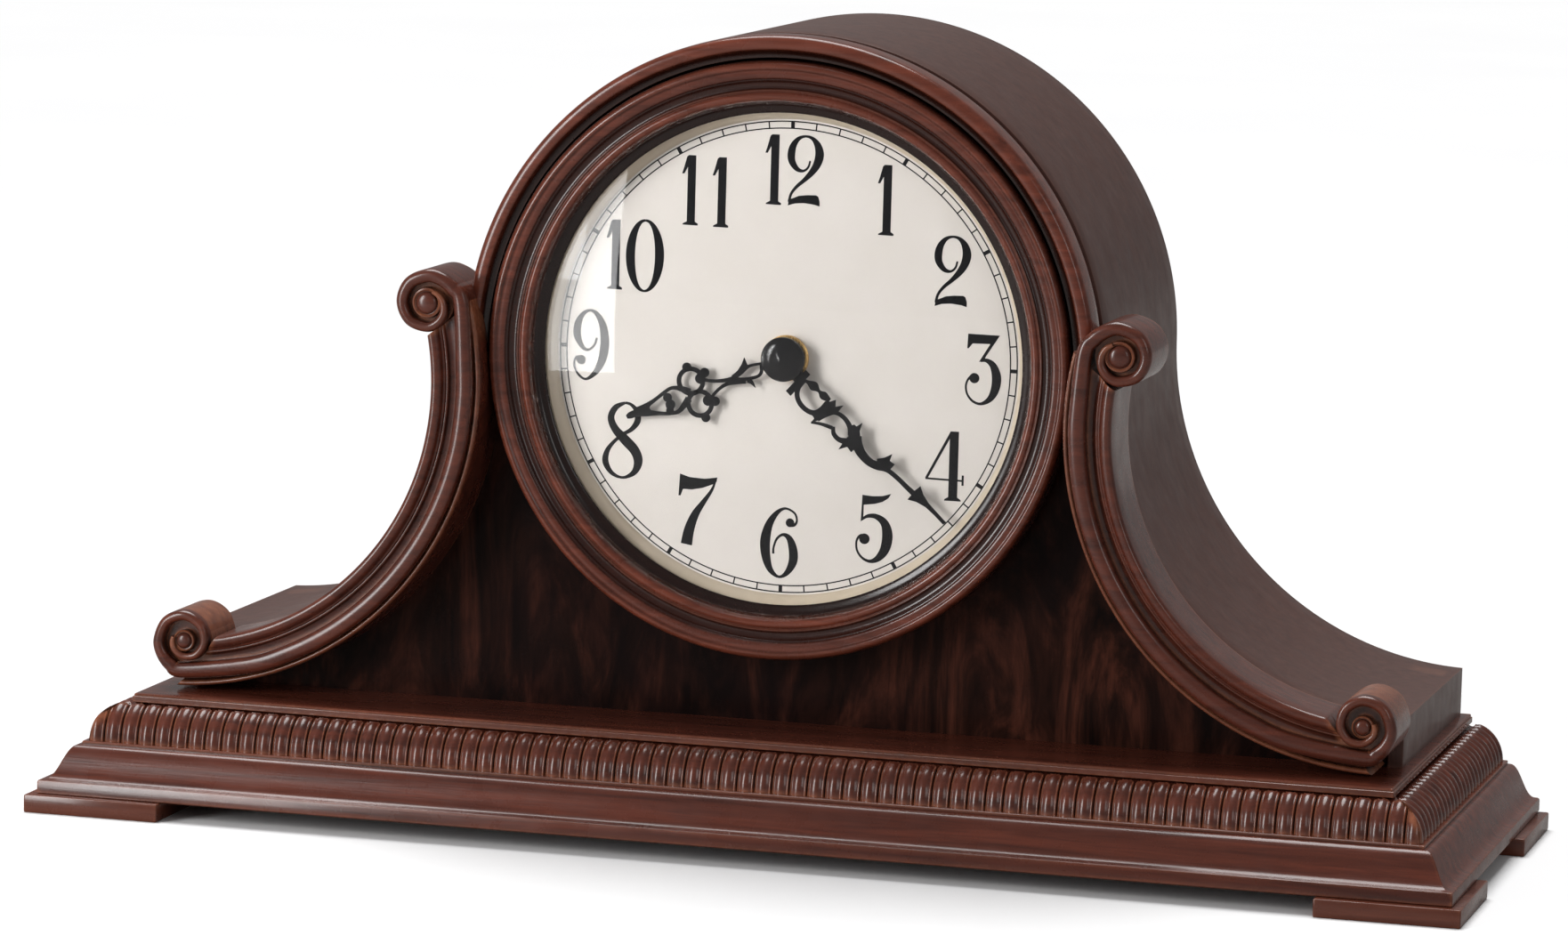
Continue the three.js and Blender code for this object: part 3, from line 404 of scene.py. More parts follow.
def wood(name, dark, light, worn_and_highlight, along="x", hollow_shade=0.88, wear=0.8, gloss=0.22, coat=0.4, rings=()):
    """Stained cherry under lacquer: grain, pores, painted shade in the grooves, and rubbed edges lightened
    toward copper that are part wear and part painted highlight.
    """
    n = Nodes(name)
    grain_place = n.mapped(GRAIN[along])
    grain = n.noise(grain_place, 260.0, 6.0, 0.6, 0.6)
    pores = n.noise(n.mapped(tuple(0.5 * g if g < 1 else g for g in GRAIN[along])), 1500.0, 3.0, 0.5)
    cloud = n.noise(n.place, 22.0, 3.0, 0.5)
    colour = n.ramp(grain, [(0.3, dark), (0.7, light)])
    colour = n.mix(n.span(cloud, 0.35, 0.7, 0.0, 0.5), colour, n.mix(0.5, dark, light))
    colour = n.mix(n.span(pores, 0.55, 0.75, 0.0, 0.45), colour, dark)
    # Painted shade: the colour darkens toward a dark brown in grooves and hollows, where the surface is
    # hemmed in.
    open_air = n.hollow(0.0045)
    deep = n.span(open_air, 0.35, 0.85, hollow_shade, 0.0)
    colour = n.mix(deep, colour, tuple(0.12 * c for c in dark))
    # Sharp edges lightened toward the worn colour: part rubbed wear, part painted highlight.
    sharp = n.hollow(0.0022, inside=True)
    patchy = n.span(n.noise(n.place, 240.0, 4.0, 0.6), 0.35, 0.65, 0.5, 1.0)
    rubbed_and_highlit = n.sum(n.span(sharp, 0.45, 0.8, wear, 0.0), patchy, "MULTIPLY")
    colour = n.mix(rubbed_and_highlit, colour, worn_and_highlight)
    # Painted shade by distance from the dial's middle, on the grooves, the steep wall and the cove.
    if rings:
        colour = n.mix(ring_shade(n, rings), colour, tuple(0.12 * c for c in dark))
    dust = n.noise(n.place, 90.0, 5.0, 0.6)
    rough = n.span(dust, 0.3, 0.7, gloss, gloss + 0.13)
    height = n.sum(n.span(grain, 0.0, 1.0, 0.0, 0.4), n.span(pores, 0.4, 0.8, 0.0, 0.6))
    normal = n.bump(height, 0.18, 0.0002)
    return n.finish(colour, rough, normal, Coat_Weight=coat, Coat_Roughness=0.12, Specular_IOR_Level=0.3)


def burl():
    """Nearly black swirled veneer with red-brown flames under gloss lacquer."""
    n = Nodes("burl_veneer")
    tall = n.mapped((1.0, 1.0, 0.35))
    flames = n.noise(tall, 34.0, 5.0, 0.6, 2.2)
    patches = n.noise(n.mapped((1.0, 1.0, 0.7)), 14.0, 4.0, 0.55, 1.0)
    fine = n.noise(n.mapped((1.0, 1.0, 0.12)), 420.0, 5.0, 0.6, 0.8)
    colour = n.ramp(flames, [(0.36, (0.006, 0.003, 0.0025)), (0.5, (0.026, 0.009, 0.006)),
                             (0.66, (0.085, 0.026, 0.016))])
    colour = n.mix(n.span(patches, 0.36, 0.6, 0.85, 0.0), colour, (0.008, 0.004, 0.004))
    colour = n.mix(n.span(fine, 0.4, 0.75, 0.0, 0.5), colour, (0.005, 0.003, 0.003))
    rough = n.span(n.noise(n.place, 60.0, 4.0), 0.3, 0.7, 0.2, 0.3)
    return n.finish(colour, rough, n.bump(fine, 0.08, 0.0002), Specular_IOR_Level=0.05)


def plain(name, colour, other, rough=0.4, grain=900.0, bump=0.1, metal=0.0, coat=0.0, wear=0.0, spec=0.5):
    """Even material with slight colour drift, fine texture, rubbed edges and painted shade in its hollows.
    """
    n = Nodes(name)
    cloud = n.noise(n.place, 45.0, 4.0, 0.6)
    fine = n.noise(n.place, grain, 3.0, 0.6)
    tint = n.mix(n.span(cloud, 0.3, 0.7), colour, other)
    if wear:
        sharp = n.span(n.hollow(0.0008, inside=True), 0.4, 0.85, wear, 0.0)
        tint = n.mix(sharp, tint, tuple(min(1.0, 1.8 * c + 0.03) for c in colour))
    # Painted shade: the colour darkens in hollows.
    shaded = n.mix(n.span(n.hollow(0.003), 0.3, 0.9, 0.35, 0.0), tint, tuple(0.35 * c for c in colour))
    roughness = n.span(n.sum(cloud, fine, "MULTIPLY"), 0.1, 0.45, rough - 0.05, rough + 0.08)
    return n.finish(shaded, roughness, n.bump(fine, bump, 0.0001), Metallic=metal, Coat_Weight=coat,
                    Specular_IOR_Level=spec)


def brushed(name, colour, other, along, rough=0.28):
    """Metal with fine lines along one direction."""
    n = Nodes(name)
    lines = n.noise(n.mapped(GRAIN[along]), 2600.0, 3.0, 0.6)
    cloud = n.noise(n.place, 60.0, 4.0, 0.6)
    tint = n.mix(n.span(cloud, 0.3, 0.7), colour, other)
    roughness = n.span(lines, 0.3, 0.7, rough - 0.08, rough + 0.1)
    return n.finish(tint, roughness, n.bump(lines, 0.12, 0.0001), Metallic=1.0)


def clear_glass():
    """Glass that lets the lamps through to the dial."""
    n = Nodes("glass")
    smear = n.noise(n.place, 35.0, 4.0, 0.6)
    shader = n.node("ShaderNodeBsdfPrincipled", {
        "Base Color": (1, 1, 1, 1), "Roughness": n.span(smear, 0.3, 0.7, 0.0, 0.025),
        "Transmission Weight": 1.0, "IOR": 1.3,
    })
    through = n.node("ShaderNodeBsdfTransparent")
    ray = n.node("ShaderNodeLightPath")
    mixed = n.node("ShaderNodeMixShader")
    n.feed(mixed.inputs[0], ray.outputs["Is Shadow Ray"])
    n.feed(mixed.inputs[1], shader.outputs[0])
    n.feed(mixed.inputs[2], through.outputs[0])
    n.feed(n.out.inputs["Surface"], mixed.outputs[0])
    return n.material


CHERRY_DARK = (0.045, 0.012, 0.008)
CHERRY_LIGHT = (0.155, 0.037, 0.020)
COPPER = (0.36, 0.125, 0.06)
# Painted shade by radius on the bezel and the hood lip: the steep wall down to the dial, the grooves, and
# the cove under the lip.
BEZEL_SHADE = [(90, 1.0), (94.4, 0.95), (95.4, 0.25), (96.4, 0.0), (98.6, 0.0), (99.6, 0.5), (100.4, 0.85),
               (102.6, 0.8), (103.6, 0.85), (104.4, 0.3), (106.4, 0.1), (107.3, 0.45), (108.0, 0.0),
               (109.6, 0.1), (110.6, 0.9), (113.6, 0.95), (114.4, 0.3), (115.4, 0.0), (121, 0.0)]
MATERIAL = {
    "cherry": wood("cherry", CHERRY_DARK, CHERRY_LIGHT, COPPER, "x"),
    "bezel": wood("bezel_wood", (0.075, 0.017, 0.009), (0.22, 0.053, 0.029), COPPER, "x", gloss=0.2,
                  rings=BEZEL_SHADE),
    "foot_wood": wood("foot_wood", (0.08, 0.021, 0.012), (0.17, 0.048, 0.027), COPPER, "x", wear=0.35),
    "hood_wood": wood("hood_wood", (0.060, 0.022, 0.016), (0.105, 0.042, 0.030), (0.22, 0.09, 0.055), "z",
                      wear=0.35, gloss=0.36, coat=0.15),
    "burl_veneer": burl(),
    "back_board": wood("back_board", (0.09, 0.038, 0.022), (0.19, 0.085, 0.048), (0.26, 0.13, 0.08), "x",
                       hollow_shade=0.5, wear=0.3, gloss=0.5, coat=0.0),
    "glass": clear_glass(),
    "dial_ivory": plain("dial_ivory", (0.64, 0.60, 0.56), (0.62, 0.58, 0.535), 0.5, 1400.0, 0.03, spec=0.2),
    "dial_edge": plain("dial_edge", (0.53, 0.45, 0.345), (0.48, 0.40, 0.30), 0.36, 1100.0, 0.05),
    "black_lacquer": plain("black_lacquer", (0.003, 0.003, 0.004), (0.005, 0.005, 0.006), 0.3, 1200.0, 0.06,
                           spec=0.1),
    "hub_lacquer": plain("hub_lacquer", (0.004, 0.004, 0.005), (0.006, 0.006, 0.007), 0.14, 1200.0, 0.04,
                         spec=0.4),
    "brass": brushed("brass", (0.72, 0.47, 0.19), (0.62, 0.39, 0.14), "z", 0.24),
    "steel": brushed("steel", (0.58, 0.58, 0.60), (0.48, 0.48, 0.50), "x", 0.32),
    "rubber": plain("rubber", (0.018, 0.018, 0.018), (0.03, 0.03, 0.03), 0.75, 1800.0, 0.3),
    "black_plastic": plain("black_plastic", (0.018, 0.018, 0.020), (0.03, 0.03, 0.032), 0.48, 2600.0, 0.35,
                           wear=0.3),
    "grey_plastic": plain("grey_plastic", (0.17, 0.17, 0.18), (0.22, 0.22, 0.23), 0.5, 2600.0, 0.35,
                          wear=0.3),
    "nylon": plain("nylon", (0.78, 0.75, 0.68), (0.70, 0.67, 0.60), 0.5, 1500.0, 0.15),
    "copper_wire": brushed("copper_wire", (0.72, 0.30, 0.14), (0.58, 0.22, 0.10), "x", 0.3),
    "circuit_board": plain("circuit_board", (0.02, 0.13, 0.05), (0.03, 0.17, 0.07), 0.35, 900.0, 0.2,
                           coat=0.3),
    "cone_paper": plain("cone_paper", (0.04, 0.036, 0.032), (0.06, 0.055, 0.05), 0.85, 2200.0, 0.6),
    "cell_wrap": plain("cell_wrap", (0.04, 0.09, 0.18), (0.06, 0.12, 0.24), 0.28, 800.0, 0.05, coat=0.4),
}


# ---- base

def feet():
    for name in ("foot_front_left", "foot_front_right", "foot_rear_left", "foot_rear_right"):
        a, b = low(name), high(name)
        shape = Shape()
        shape.slab(a.x, b.x, a.y, b.y, a.z, b.z, 0.6)
        shape.build(f"{name}_block", "case", "foot_wood", [name])


def ogee(bottom, top, outer, inner, steps=22):
    """Hollow below and round above, level at both ends."""
    points = []
    for i in range(steps + 1):
        t = i / steps
        rise = t - sin(2 * pi * t) / (2 * pi)
        points.append((outer + (inner - outer) * t, bottom + (top - bottom) * rise))
    return points


def base_board():
    core = 0.0
    edge = 0.45
    profile = [
        (core, PLINTH_BOTTOM), (PLINTH_STEP - edge, PLINTH_BOTTOM), (PLINTH_STEP, PLINTH_BOTTOM + edge),
        (PLINTH_STEP, OGEE_BOTTOM - 0.9), (PLINTH_STEP - 0.25, OGEE_BOTTOM - 0.3),
        (PLINTH_STEP - 0.9, OGEE_BOTTOM),
        *ogee(OGEE_BOTTOM, FILLET_BOTTOM, PLINTH_STEP - 1.2, FILLET_STEP + 0.25)[1:],
        (FILLET_STEP, FILLET_BOTTOM + 0.05), (FILLET_STEP, REED_BOTTOM - 0.3),
        (FILLET_STEP - 0.3, REED_BOTTOM), (core, REED_BOTTOM), (core, CAP_BOTTOM),
    ]
    shape = Shape()
    shape.moulding(profile)
    shape.build("base_moulding", "case", "cherry", ["base_board"])


def cap_board():
    top = CASE_BOTTOM
    profile = [
        (0.0, CAP_BOTTOM), (CAP_STEP - 0.2, CAP_BOTTOM), (CAP_STEP, CAP_BOTTOM + 0.2),
        (CAP_STEP, top - 1.2), (CAP_STEP - 0.15, top - 1.05), (CAP_STEP - 0.55, top - 1.0),
        (CAP_STEP - 0.55, top - 0.75), (CAP_STEP - 0.5, top - 0.45), (CAP_STEP - 0.75, top - 0.1),
        (CAP_STEP - 1.1, top), (0.0, top),
    ]
    shape = Shape()
    shape.moulding(profile)
    shape.build("cap_moulding", "case", "cherry", ["cap_board"])


REED_PITCH = 6.6
REED_HALF = 3.02
REED_RIM = 0.62
REED_TIP = 1.1


def reed_height(across, along, length):
    """Height of the reeding: a finger with a fine rim and a crowned middle, and a groove round it."""
    tip = length - REED_TIP - REED_HALF
    past = max(along - tip, 0.0)
    depth = REED_HALF - hypot(across, past)
    if depth < 0:
        return max(-1.15, 2.6 * depth - 0.25)
    if depth < REED_RIM:
        return 0.25 * sin(pi * depth / REED_RIM) + 0.1 * depth - 0.05
    rise = min(1.0, (depth - REED_RIM) / (REED_HALF - REED_RIM))
    return -0.12 + 1.05 * sin(rise * pi / 2)


def reeding(width, mitres):
    """Grid of (along, offset, z) points; mitres says which ends stop on the corner's diagonal."""
    reach = REED_STEP - CAP_STEP - 1.0
    rise = CAP_BOTTOM - REED_BOTTOM
    rows = 22
    per_reed = 22
    length = pi / 2 * sqrt((reach ** 2 + rise ** 2) / 2)
    reeds = round(width / REED_PITCH)
    pitch = width / reeds
    grid = []
    for row in range(rows + 1):
        angle = pi / 2 * row / rows
        out, up = cos(angle), sin(angle)
        line = []
        for k in range(reeds * per_reed + 1):
            along = -width / 2 + pitch * k / per_reed
            across = (k % per_reed / per_reed - 0.5) * pitch
            h = reed_height(across, length * row / rows, length)
            offset = CAP_STEP + (reach + h) * out - 0.05
            z = REED_BOTTOM + (rise - 0.25 + h) * up if row else REED_BOTTOM
            line.append([along, offset, min(z, CAP_BOTTOM + 0.0)])
        grid.append(line)
    for line in grid:
        for point in line:
            limit = width / 2 - (REED_STEP - point[1])
            for side, mitre in zip((-1, 1), mitres):
                if mitre and side * point[0] > limit:
                    point[0] = side * limit
    return grid


def reeded_strips():
    """The reeded quarter-rounds of the front and both ends."""
    front_width = 2 * (HALF_WIDTH + REED_STEP)
    side_width = BACK - (STEP_FRONT - REED_STEP)
    runs = {
        "front": (front_width, (True, True), lambda a, o, z: (a, STEP_FRONT - o, z)),
        "right": (side_width, (True, False),
                  lambda a, o, z: (HALF_WIDTH + o, a + BACK - side_width / 2, z)),
        "left": (side_width, (True, False),
                 lambda a, o, z: (-HALF_WIDTH - o, a + BACK - side_width / 2, z)),
    }
    for run, (width, mitres, place) in runs.items():
        grid = reeding(width, mitres)
        core_low = [[p[0], 0.5, REED_BOTTOM] for p in grid[0]]
        core_high = [[p[0], 0.5, CAP_BOTTOM] for p in grid[-1]]
        rows = [core_low, *grid, core_high]
        count = len(rows[0])
        rings = [[place(*row[k]) for row in rows] for k in range(count)]
        shape = Shape()
        shape.loft(rings)
        shape.build(f"reeding_{run}", "case", "cherry", [f"reeded_strip_{run}"], 60)


# ---- case

def tambour(by, sweep_steps=48, hood_steps=160):
    """Outline of the case moved inwards, as (x, z) from the right foot over to the left."""
    x = HALF_WIDTH - by
    centre = HOOD_RADIUS + SWEEP_RADIUS
    radius = SWEEP_RADIUS + by
    sweep_end = 180 + degrees(atan2(sqrt(radius ** 2 - (centre - x) ** 2), centre - x))
    sweep = arc(centre, DIAL_Z, radius, sweep_end, 180, sweep_steps)
    hood = arc(0, DIAL_Z, HOOD_RADIUS - by, 0, 180, hood_steps)
    mirrored = [(-px, pz) for px, pz in reversed(sweep)]
    return [(x, CASE_BOTTOM), *sweep, *hood[1:-1], *mirrored, (-x, CASE_BOTTOM)]


def case_wrap():
    """Bent sheet of the top and sides, with its front and back edges eased."""
    ease = 0.5
    layers = [
        (0.0 + ease, CASE_FRONT), (0.3 * ease, CASE_FRONT + 0.3 * ease), (0.0, CASE_FRONT + ease),
        (0.0, CASE_FRONT + 10), (0.0, BACK - 10), (0.0, BACK - ease),
        (0.3 * ease, BACK - 0.3 * ease), (ease, BACK), (CASE_WALL - ease, BACK),
        (CASE_WALL, BACK - ease), (CASE_WALL, CASE_FRONT + ease), (CASE_WALL - ease, CASE_FRONT),
    ]
    lines = [tambour(by) for by, _ in layers]
    rings = []
    for k in range(len(lines[0])):
        rings.append([(line[k][0], y, line[k][1]) for line, (_, y) in zip(lines, layers)])
    shape = Shape()
    shape.loft(rings)
    for side in (-1, 1):
        for x, z, width, height in CLEATS:
            middle = side * x
            shape.slab(middle - width / 2, middle + width / 2, *CLEAT_SPAN, z - height / 2, z + height / 2)
    shape.build("case_shell", "case", "hood_wood", ["case_wrap"])


def front_panel():
    """Veneered board with the bore that the dial stands in."""
    rim = tambour(CASE_WALL + PANEL_GAP, 48, 96)
    bore = arc(0, DIAL_Z, PANEL_BORE, 0, 360, 96)[:-1]
    shape = Shape()
    shape.board([rim, bore], CASE_FRONT, PANEL_BACK)
    shape.build("veneer_panel", "case", "burl_veneer", ["front_panel"])


def hood_arch():
    """Lip and cove of the hood round the top half of the bezel."""
    r, f = HOOD_RADIUS, ARCH_FRONT
    rounded = soften([
        (r, CASE_FRONT), (r, f + 2.4), (r - 0.9, f + 0.7), (r - 2.6, f), (r - 4.6, f + 0.1),
        (r - 5.4, f + 0.7), (r - 5.6, f + 2.0), (r - 6.3, f + 3.0), (r - 7.6, f + 3.6),
        (ARCH_INNER_RADIUS, f + 3.6), (ARCH_INNER_RADIUS, CASE_FRONT),
    ])
    shape = Shape()
    shape.turned(rounded, steps=200, start=-90, end=90)
    shape.build("hood_lip", "case", "hood_wood", ["hood_arch"], finish="bezel")


# ---- scrolls

BAND_RADIUS = 101
BAND_CENTRE = (230, 163)
BAND_WIDTH = 18.6
ROPE_PLACE = 13.0
UPPER_VOLUTE_X = 131
LOWER_VOLUTE = (224.5, 61)
VOLUTE_RISE = {"left": 194.0, "right": 189.0}
GROUND = SCROLL_FRONT + 4.6

# (distance from the hollow edge, depth behind the front) across the band.
BAND_SECTION = [
    (0.0, 2.6), (0.35, 1.1), (1.3, 0.35), (2.6, 0.3), (3.8, 0.9), (4.5, 2.0), (4.7, 2.7), (5.3, 2.75),
    (5.55, 3.4), (6.0, 3.3), (6.4, 3.5), (6.7, 4.4), (8.0, 4.9), (9.6, 4.7), (13.0, 4.7), (16.2, 4.4),
    (16.7, 3.5), (17.3, 3.0), (17.9, 3.1), (18.4, 3.8), (18.6, 4.8),
]
# Angle about the volute, reach of the rope's middle and its width, from the eye outwards.
UPPER_TURN = [
    (-240, 4.9, 1.6), (-210, 5.6, 2.3), (-180, 6.5, 2.9), (-150, 7.5, 3.3), (-120, 8.4, 3.6),
    (-90, 9.0, 3.9), (-45, 9.5, 4.2), (0, 9.7, 4.5), (45, 9.8, 4.8), (90, 10.0, 5.0),
    (120, 10.4, 5.2), (150, 11.4, 5.5), (178, 13.1, 5.9),
]
LOWER_TURN = [
    (-90, 11.3, 6.0), (-60, 10.9, 5.4), (-30, 10.4, 4.8), (0, 10.1, 4.4), (45, 9.9, 4.1), (90, 9.6, 3.9),
    (135, 9.0, 3.6), (180, 8.1, 3.3), (225, 7.0, 3.1), (270, 5.9, 2.9), (315, 5.0, 2.6), (350, 4.5, 2.2),
    (380, 4.2, 1.6),
]


def polar(centre, angle, reach):
    return centre[0] + reach * cos(radians(angle)), centre[1] + reach * sin(radians(angle))


def rope_section(width):
    """Crowned rope with straight sides down to the case front."""
    half = width / 2
    crown = min(2.6, 0.62 * width)
    points = [(half, CASE_FRONT - 0.2), (half, SCROLL_FRONT + crown)]
    for i in range(1, 10):
        a = pi * i / 10
        points.append((half * cos(a), SCROLL_FRONT + crown - crown * sin(a) ** 0.8))
    points += [(-half, SCROLL_FRONT + crown), (-half, CASE_FRONT - 0.2)]
    return points


def rope_path(upper):
    """Middle line of the rope, from the upper eye round, down the band and into the lower eye."""
    knots = [(*polar(upper, a, r), w) for a, r, w in UPPER_TURN]
    middle = BAND_RADIUS + ROPE_PLACE
    knots.append((*polar(BAND_CENTRE, 176, middle), 6.4))
    for a in range(182, 260, 8):
        knots.append((*polar(BAND_CENTRE, a, middle), 6.6))
    knots += [(*polar(LOWER_VOLUTE, a, r), w) for a, r, w in LOWER_TURN]
    return smooth_path(knots, 10)


def band_rings(upper, steps=110):
    """Rings of the moulded band, from under the upper volute down to the lower one."""
    rings = []
    reach = upper[1] - 12.4 - BAND_CENTRE[1]
    top = 180 - degrees(asin(reach / BAND_RADIUS))
    section = soften([(0.0, CASE_FRONT - SCROLL_FRONT), *BAND_SECTION,
                      (BAND_WIDTH, CASE_FRONT - SCROLL_FRONT)], 1, closed=False)
    for i in range(steps + 1):
        t = i / steps
        ring = []
        for u, depth in section:
            start = top - 0.28 * u
            end = 259.4 + 0.52 * u
            angle = start + (end - start) * t
            x, z = polar(BAND_CENTRE, angle, BAND_RADIUS + u)
            ring.append((x, SCROLL_FRONT + depth, z))
        rings.append(ring)
    return rings


def eye(shape, centre, radius, ring):
    """Domed button in the middle of a volute, with a fine ring round it."""
    f = SCROLL_FRONT
    profile = [(0.0, CASE_FRONT - 1), (radius + ring, CASE_FRONT - 1), (radius + ring, f + 2.4),
               (radius + 0.75 * ring, f + 1.3), (radius + 0.35 * ring, f + 1.1), (radius, f + 1.7),
               (radius - 0.3, f + 1.75), (radius - 0.8, f + 0.9), (0.6 * radius, f + 0.35),
               (0.3 * radius, f + 0.15), (0.0, f + 0.1)]
    shape.dome(profile, centre[0], centre[1], 56)


def scrolls():
    for hand in ("left", "right"):
        upper = (UPPER_VOLUTE_X, VOLUTE_RISE[hand])
        shape = Shape()
        shape.loft(band_rings(upper))
        shape.ribbon(rope_path(upper), rope_section)
        for centre, reach in ((upper, 9.6), (LOWER_VOLUTE, 10.2)):
            shape.dome([(0.0, CASE_FRONT), (reach, CASE_FRONT), (reach, GROUND), (0.0, GROUND)],
                       centre[0], centre[1], 64)
        eye(shape, upper, 4.5, 1.3)
        eye(shape, LOWER_VOLUTE, 3.4, 0.8)
        shape.build(f"carved_scroll_{hand}", "case", "cherry", [f"scroll_{hand}"],
                    50, mirror=hand == "left")


# ---- bezel, glass and dial

def bezel():
    """Turned ring: outer bead, shallow band, groove, torus and the steep wall down to the dial."""
    r, f = BEZEL_RADIUS, BEZEL_FRONT
    opening = 90.75
    pocket = 94
    face = soften([
        (r, CASE_FRONT), (r, f + 3.4), (r - 0.35, f + 1.9), (r - 1.2, f + 0.7), (r - 2.4, f + 0.2),
        (r - 3.2, f + 0.6), (r - 3.7, f + 1.1), (r - 5.0, f + 1.0), (r - 6.4, f + 1.3),
        (r - 6.75, f + 2.1), (r - 7.3, f + 2.2), (r - 7.9, f + 3.3), (r - 9.2, f + 3.9),
        (r - 10.3, f + 3.7), (r - 10.7, f + 3.0), (r - 11.2, f + 3.05), (r - 11.6, f + 3.6),
        (r - 12.2, f + 2.9), (r - 13.2, f + 2.55), (r - 14.4, f + 3.1), (r - 15.3, f + 4.6),
        (r - 15.8, f + 7.4), (r - 16.4, f + 8.0), (opening + 2.6, f + 8.6), (opening + 0.4, f + 9.4),
        (opening, f + 10.3), (pocket, f + 10.5), (pocket, CASE_FRONT),
    ])
    shape = Shape()
    shape.turned(face, steps=256)
    shape.build("turned_bezel", "case", "cherry", ["bezel_ring"], 45, finish="bezel")


def glass():
    """Domed pane, 2 mm thick."""
    a, b = low("glass_dome"), high("glass_dome")
    rim = b.x
    thick = 2.0
    rise = b.y - thick - a.y
    sphere = (rim * rim + rise * rise) / (2 * rise)

    def face(top, steps=28):
        radii = [rim * i / steps for i in range(steps + 1)]
        return [(r, top + sphere - sqrt(sphere * sphere - r * r)) for r in radii]

    shape = Shape()
    shape.dome([*face(a.y), *reversed(face(a.y + thick))], steps=160)
    shape.build("domed_glass", "case", "glass", ["glass_dome"])


def dial_ring():
    """Khaki ring that rises from the dial to the glass."""
    a = low("dial_edge_ring")
    foot, top = 88.0, 91.25
    rim = high("dial_edge_ring").x
    face = [(foot, DIAL_FRONT), (foot + 0.3, DIAL_FRONT - 0.7), (foot + 1.2, DIAL_FRONT - 2.2),
            (foot + 2.3, a.y + 1.0), (top, a.y), (rim, a.y), (rim, DIAL_FRONT)]
    shape = Shape()
    shape.turned(face, steps=256)
    shape.build("dial_surround", "case", "dial_edge", ["dial_edge_ring"])


INK = 0.05


def dial_track():
    """Two fine circles with a mark for each minute and a heavy one for each hour."""
    shape = Shape()
    outer, inner, line = 87.15, 84.63, 0.46
    for radius in (outer, inner):
        a, b = radius - line / 2, radius + line / 2
        shape.turned([(a, DIAL_FRONT), (b, DIAL_FRONT), (b, DIAL_FRONT - INK), (a, DIAL_FRONT - INK)],
                     steps=256)
    for minute in range(60):
        width = 1.4 if minute % 5 == 0 else 0.52
        a = radians(6 * minute)
        along, across = Vector((sin(a), cos(a))), Vector((cos(a), -sin(a)))
        corners = [along * r + across * s * width / 2 for r, s in
                   ((inner, -1), (outer, -1), (outer, 1), (inner, 1))]
        shape.prism([(c.x, DIAL_Z + c.y) for c in corners], DIAL_FRONT - INK - 0.01, DIAL_FRONT)
    shape.build("minute_track", "case", "black_lacquer")


def ball(x, z, radius):
    """Stroke knots that make a round dot."""
    return [(x + radius * cos(a), z + radius * sin(a)) for a in (2 * pi * i / 20 for i in range(20))]


# Old-style numbers, drawn about the middle of the dial. Strokes are (x, z, width) knots;
# blocks are outlines; dots are (x, z, radius).
def one(x, z):
    stem = [(0.1, 1.0), (0.1, 21.4), (-1.2, 18.9), (-2.1, 18.9), (-1.3, 21.4), (-0.3, 25.2), (0.4, 25.8),
            (3.2, 25.8), (3.2, 1.0)]
    foot = [(-1.5, 0.0), (-1.4, 0.5), (0.1, 1.3), (3.2, 1.3), (4.4, 0.6), (4.3, -0.1)]
    return {"blocks": [[(x + a, z + b) for a, b in line] for line in (stem, foot)]}


def two(x, z):
    stroke = [(8.6, 16.8, 0.7), (7.9, 14.4, 0.8), (6.1, 13.0, 1.0), (3.7, 13.6, 1.8), (1.7, 16.3, 2.6),
              (1.4, 19.3, 2.9), (2.2, 22.4, 2.4), (4.1, 24.8, 1.5), (6.7, 25.7, 0.9), (9.3, 25.0, 1.4),
              (11.3, 22.6, 2.6), (12.1, 19.3, 3.3), (11.3, 15.8, 3.0), (9.3, 12.6, 2.3), (6.7, 9.8, 1.6),
              (3.7, 7.1, 1.2), (1.7, 4.4, 1.0), (0.9, 1.3, 1.0)]
    base = [(0.5, 0.0), (3.2, 0.9), (6.7, 1.2), (10.5, 0.8), (12.6, 0.2), (12.6, 2.0), (12.0, 3.8),
            (11.2, 4.3), (7.7, 4.2), (4.7, 3.8), (1.9, 2.6), (1.0, 2.6)]
    return {"strokes": [[(x + a, z + b, w) for a, b, w in stroke]],
            "blocks": [[(x + a, z + b) for a, b in base]]}


THREE = {
    "blocks": [[(68.4, 12.9), (80.3, 12.8), (76.8, 9.5), (70.2, 9.4), (68.7, 7.5), (68.2, 7.5)],
               [(80.3, 12.8), (75.3, 4.9), (74.7, 3.4), (72.7, 2.7), (76.8, 9.5)]],
    "strokes": [[(73.3, 3.1, 0.8), (75.6, 3.4, 1.5), (78.1, 1.6, 2.6), (79.5, -2.5, 3.5), (79.1, -7, 3.2),
                 (77.2, -10.7, 2.2), (74, -12.6, 1.1), (71, -11.9, 0.9), (68.8, -9.5, 0.8),
                 (68.1, -6.5, 0.8), (68.8, -4, 0.8), (70.3, -2.4, 1.1)]],
    "dots": [(71.2, -3.3, 1.9)],
}
FOUR = {
    "blocks": [[(62.7, -48.4), (62.7, -25.5), (62.9, -23.4), (66.1, -23.4), (66.1, -48.4)],
               [(61.2, -49.1), (61.3, -48.5), (62.7, -47.7), (66.1, -47.7), (67.4, -48.5), (67.5, -49.1)],
               [(53.9, -41.6), (53.9, -40.9), (67.9, -41.1), (67.9, -41.8)],
               [(62.9, -23.5), (53.8, -41.0), (54.9, -41.0), (63.4, -24.9)],
               [(67.6, -39.4), (68.4, -39.4), (68.4, -43.2), (67.6, -43.2)]],
}
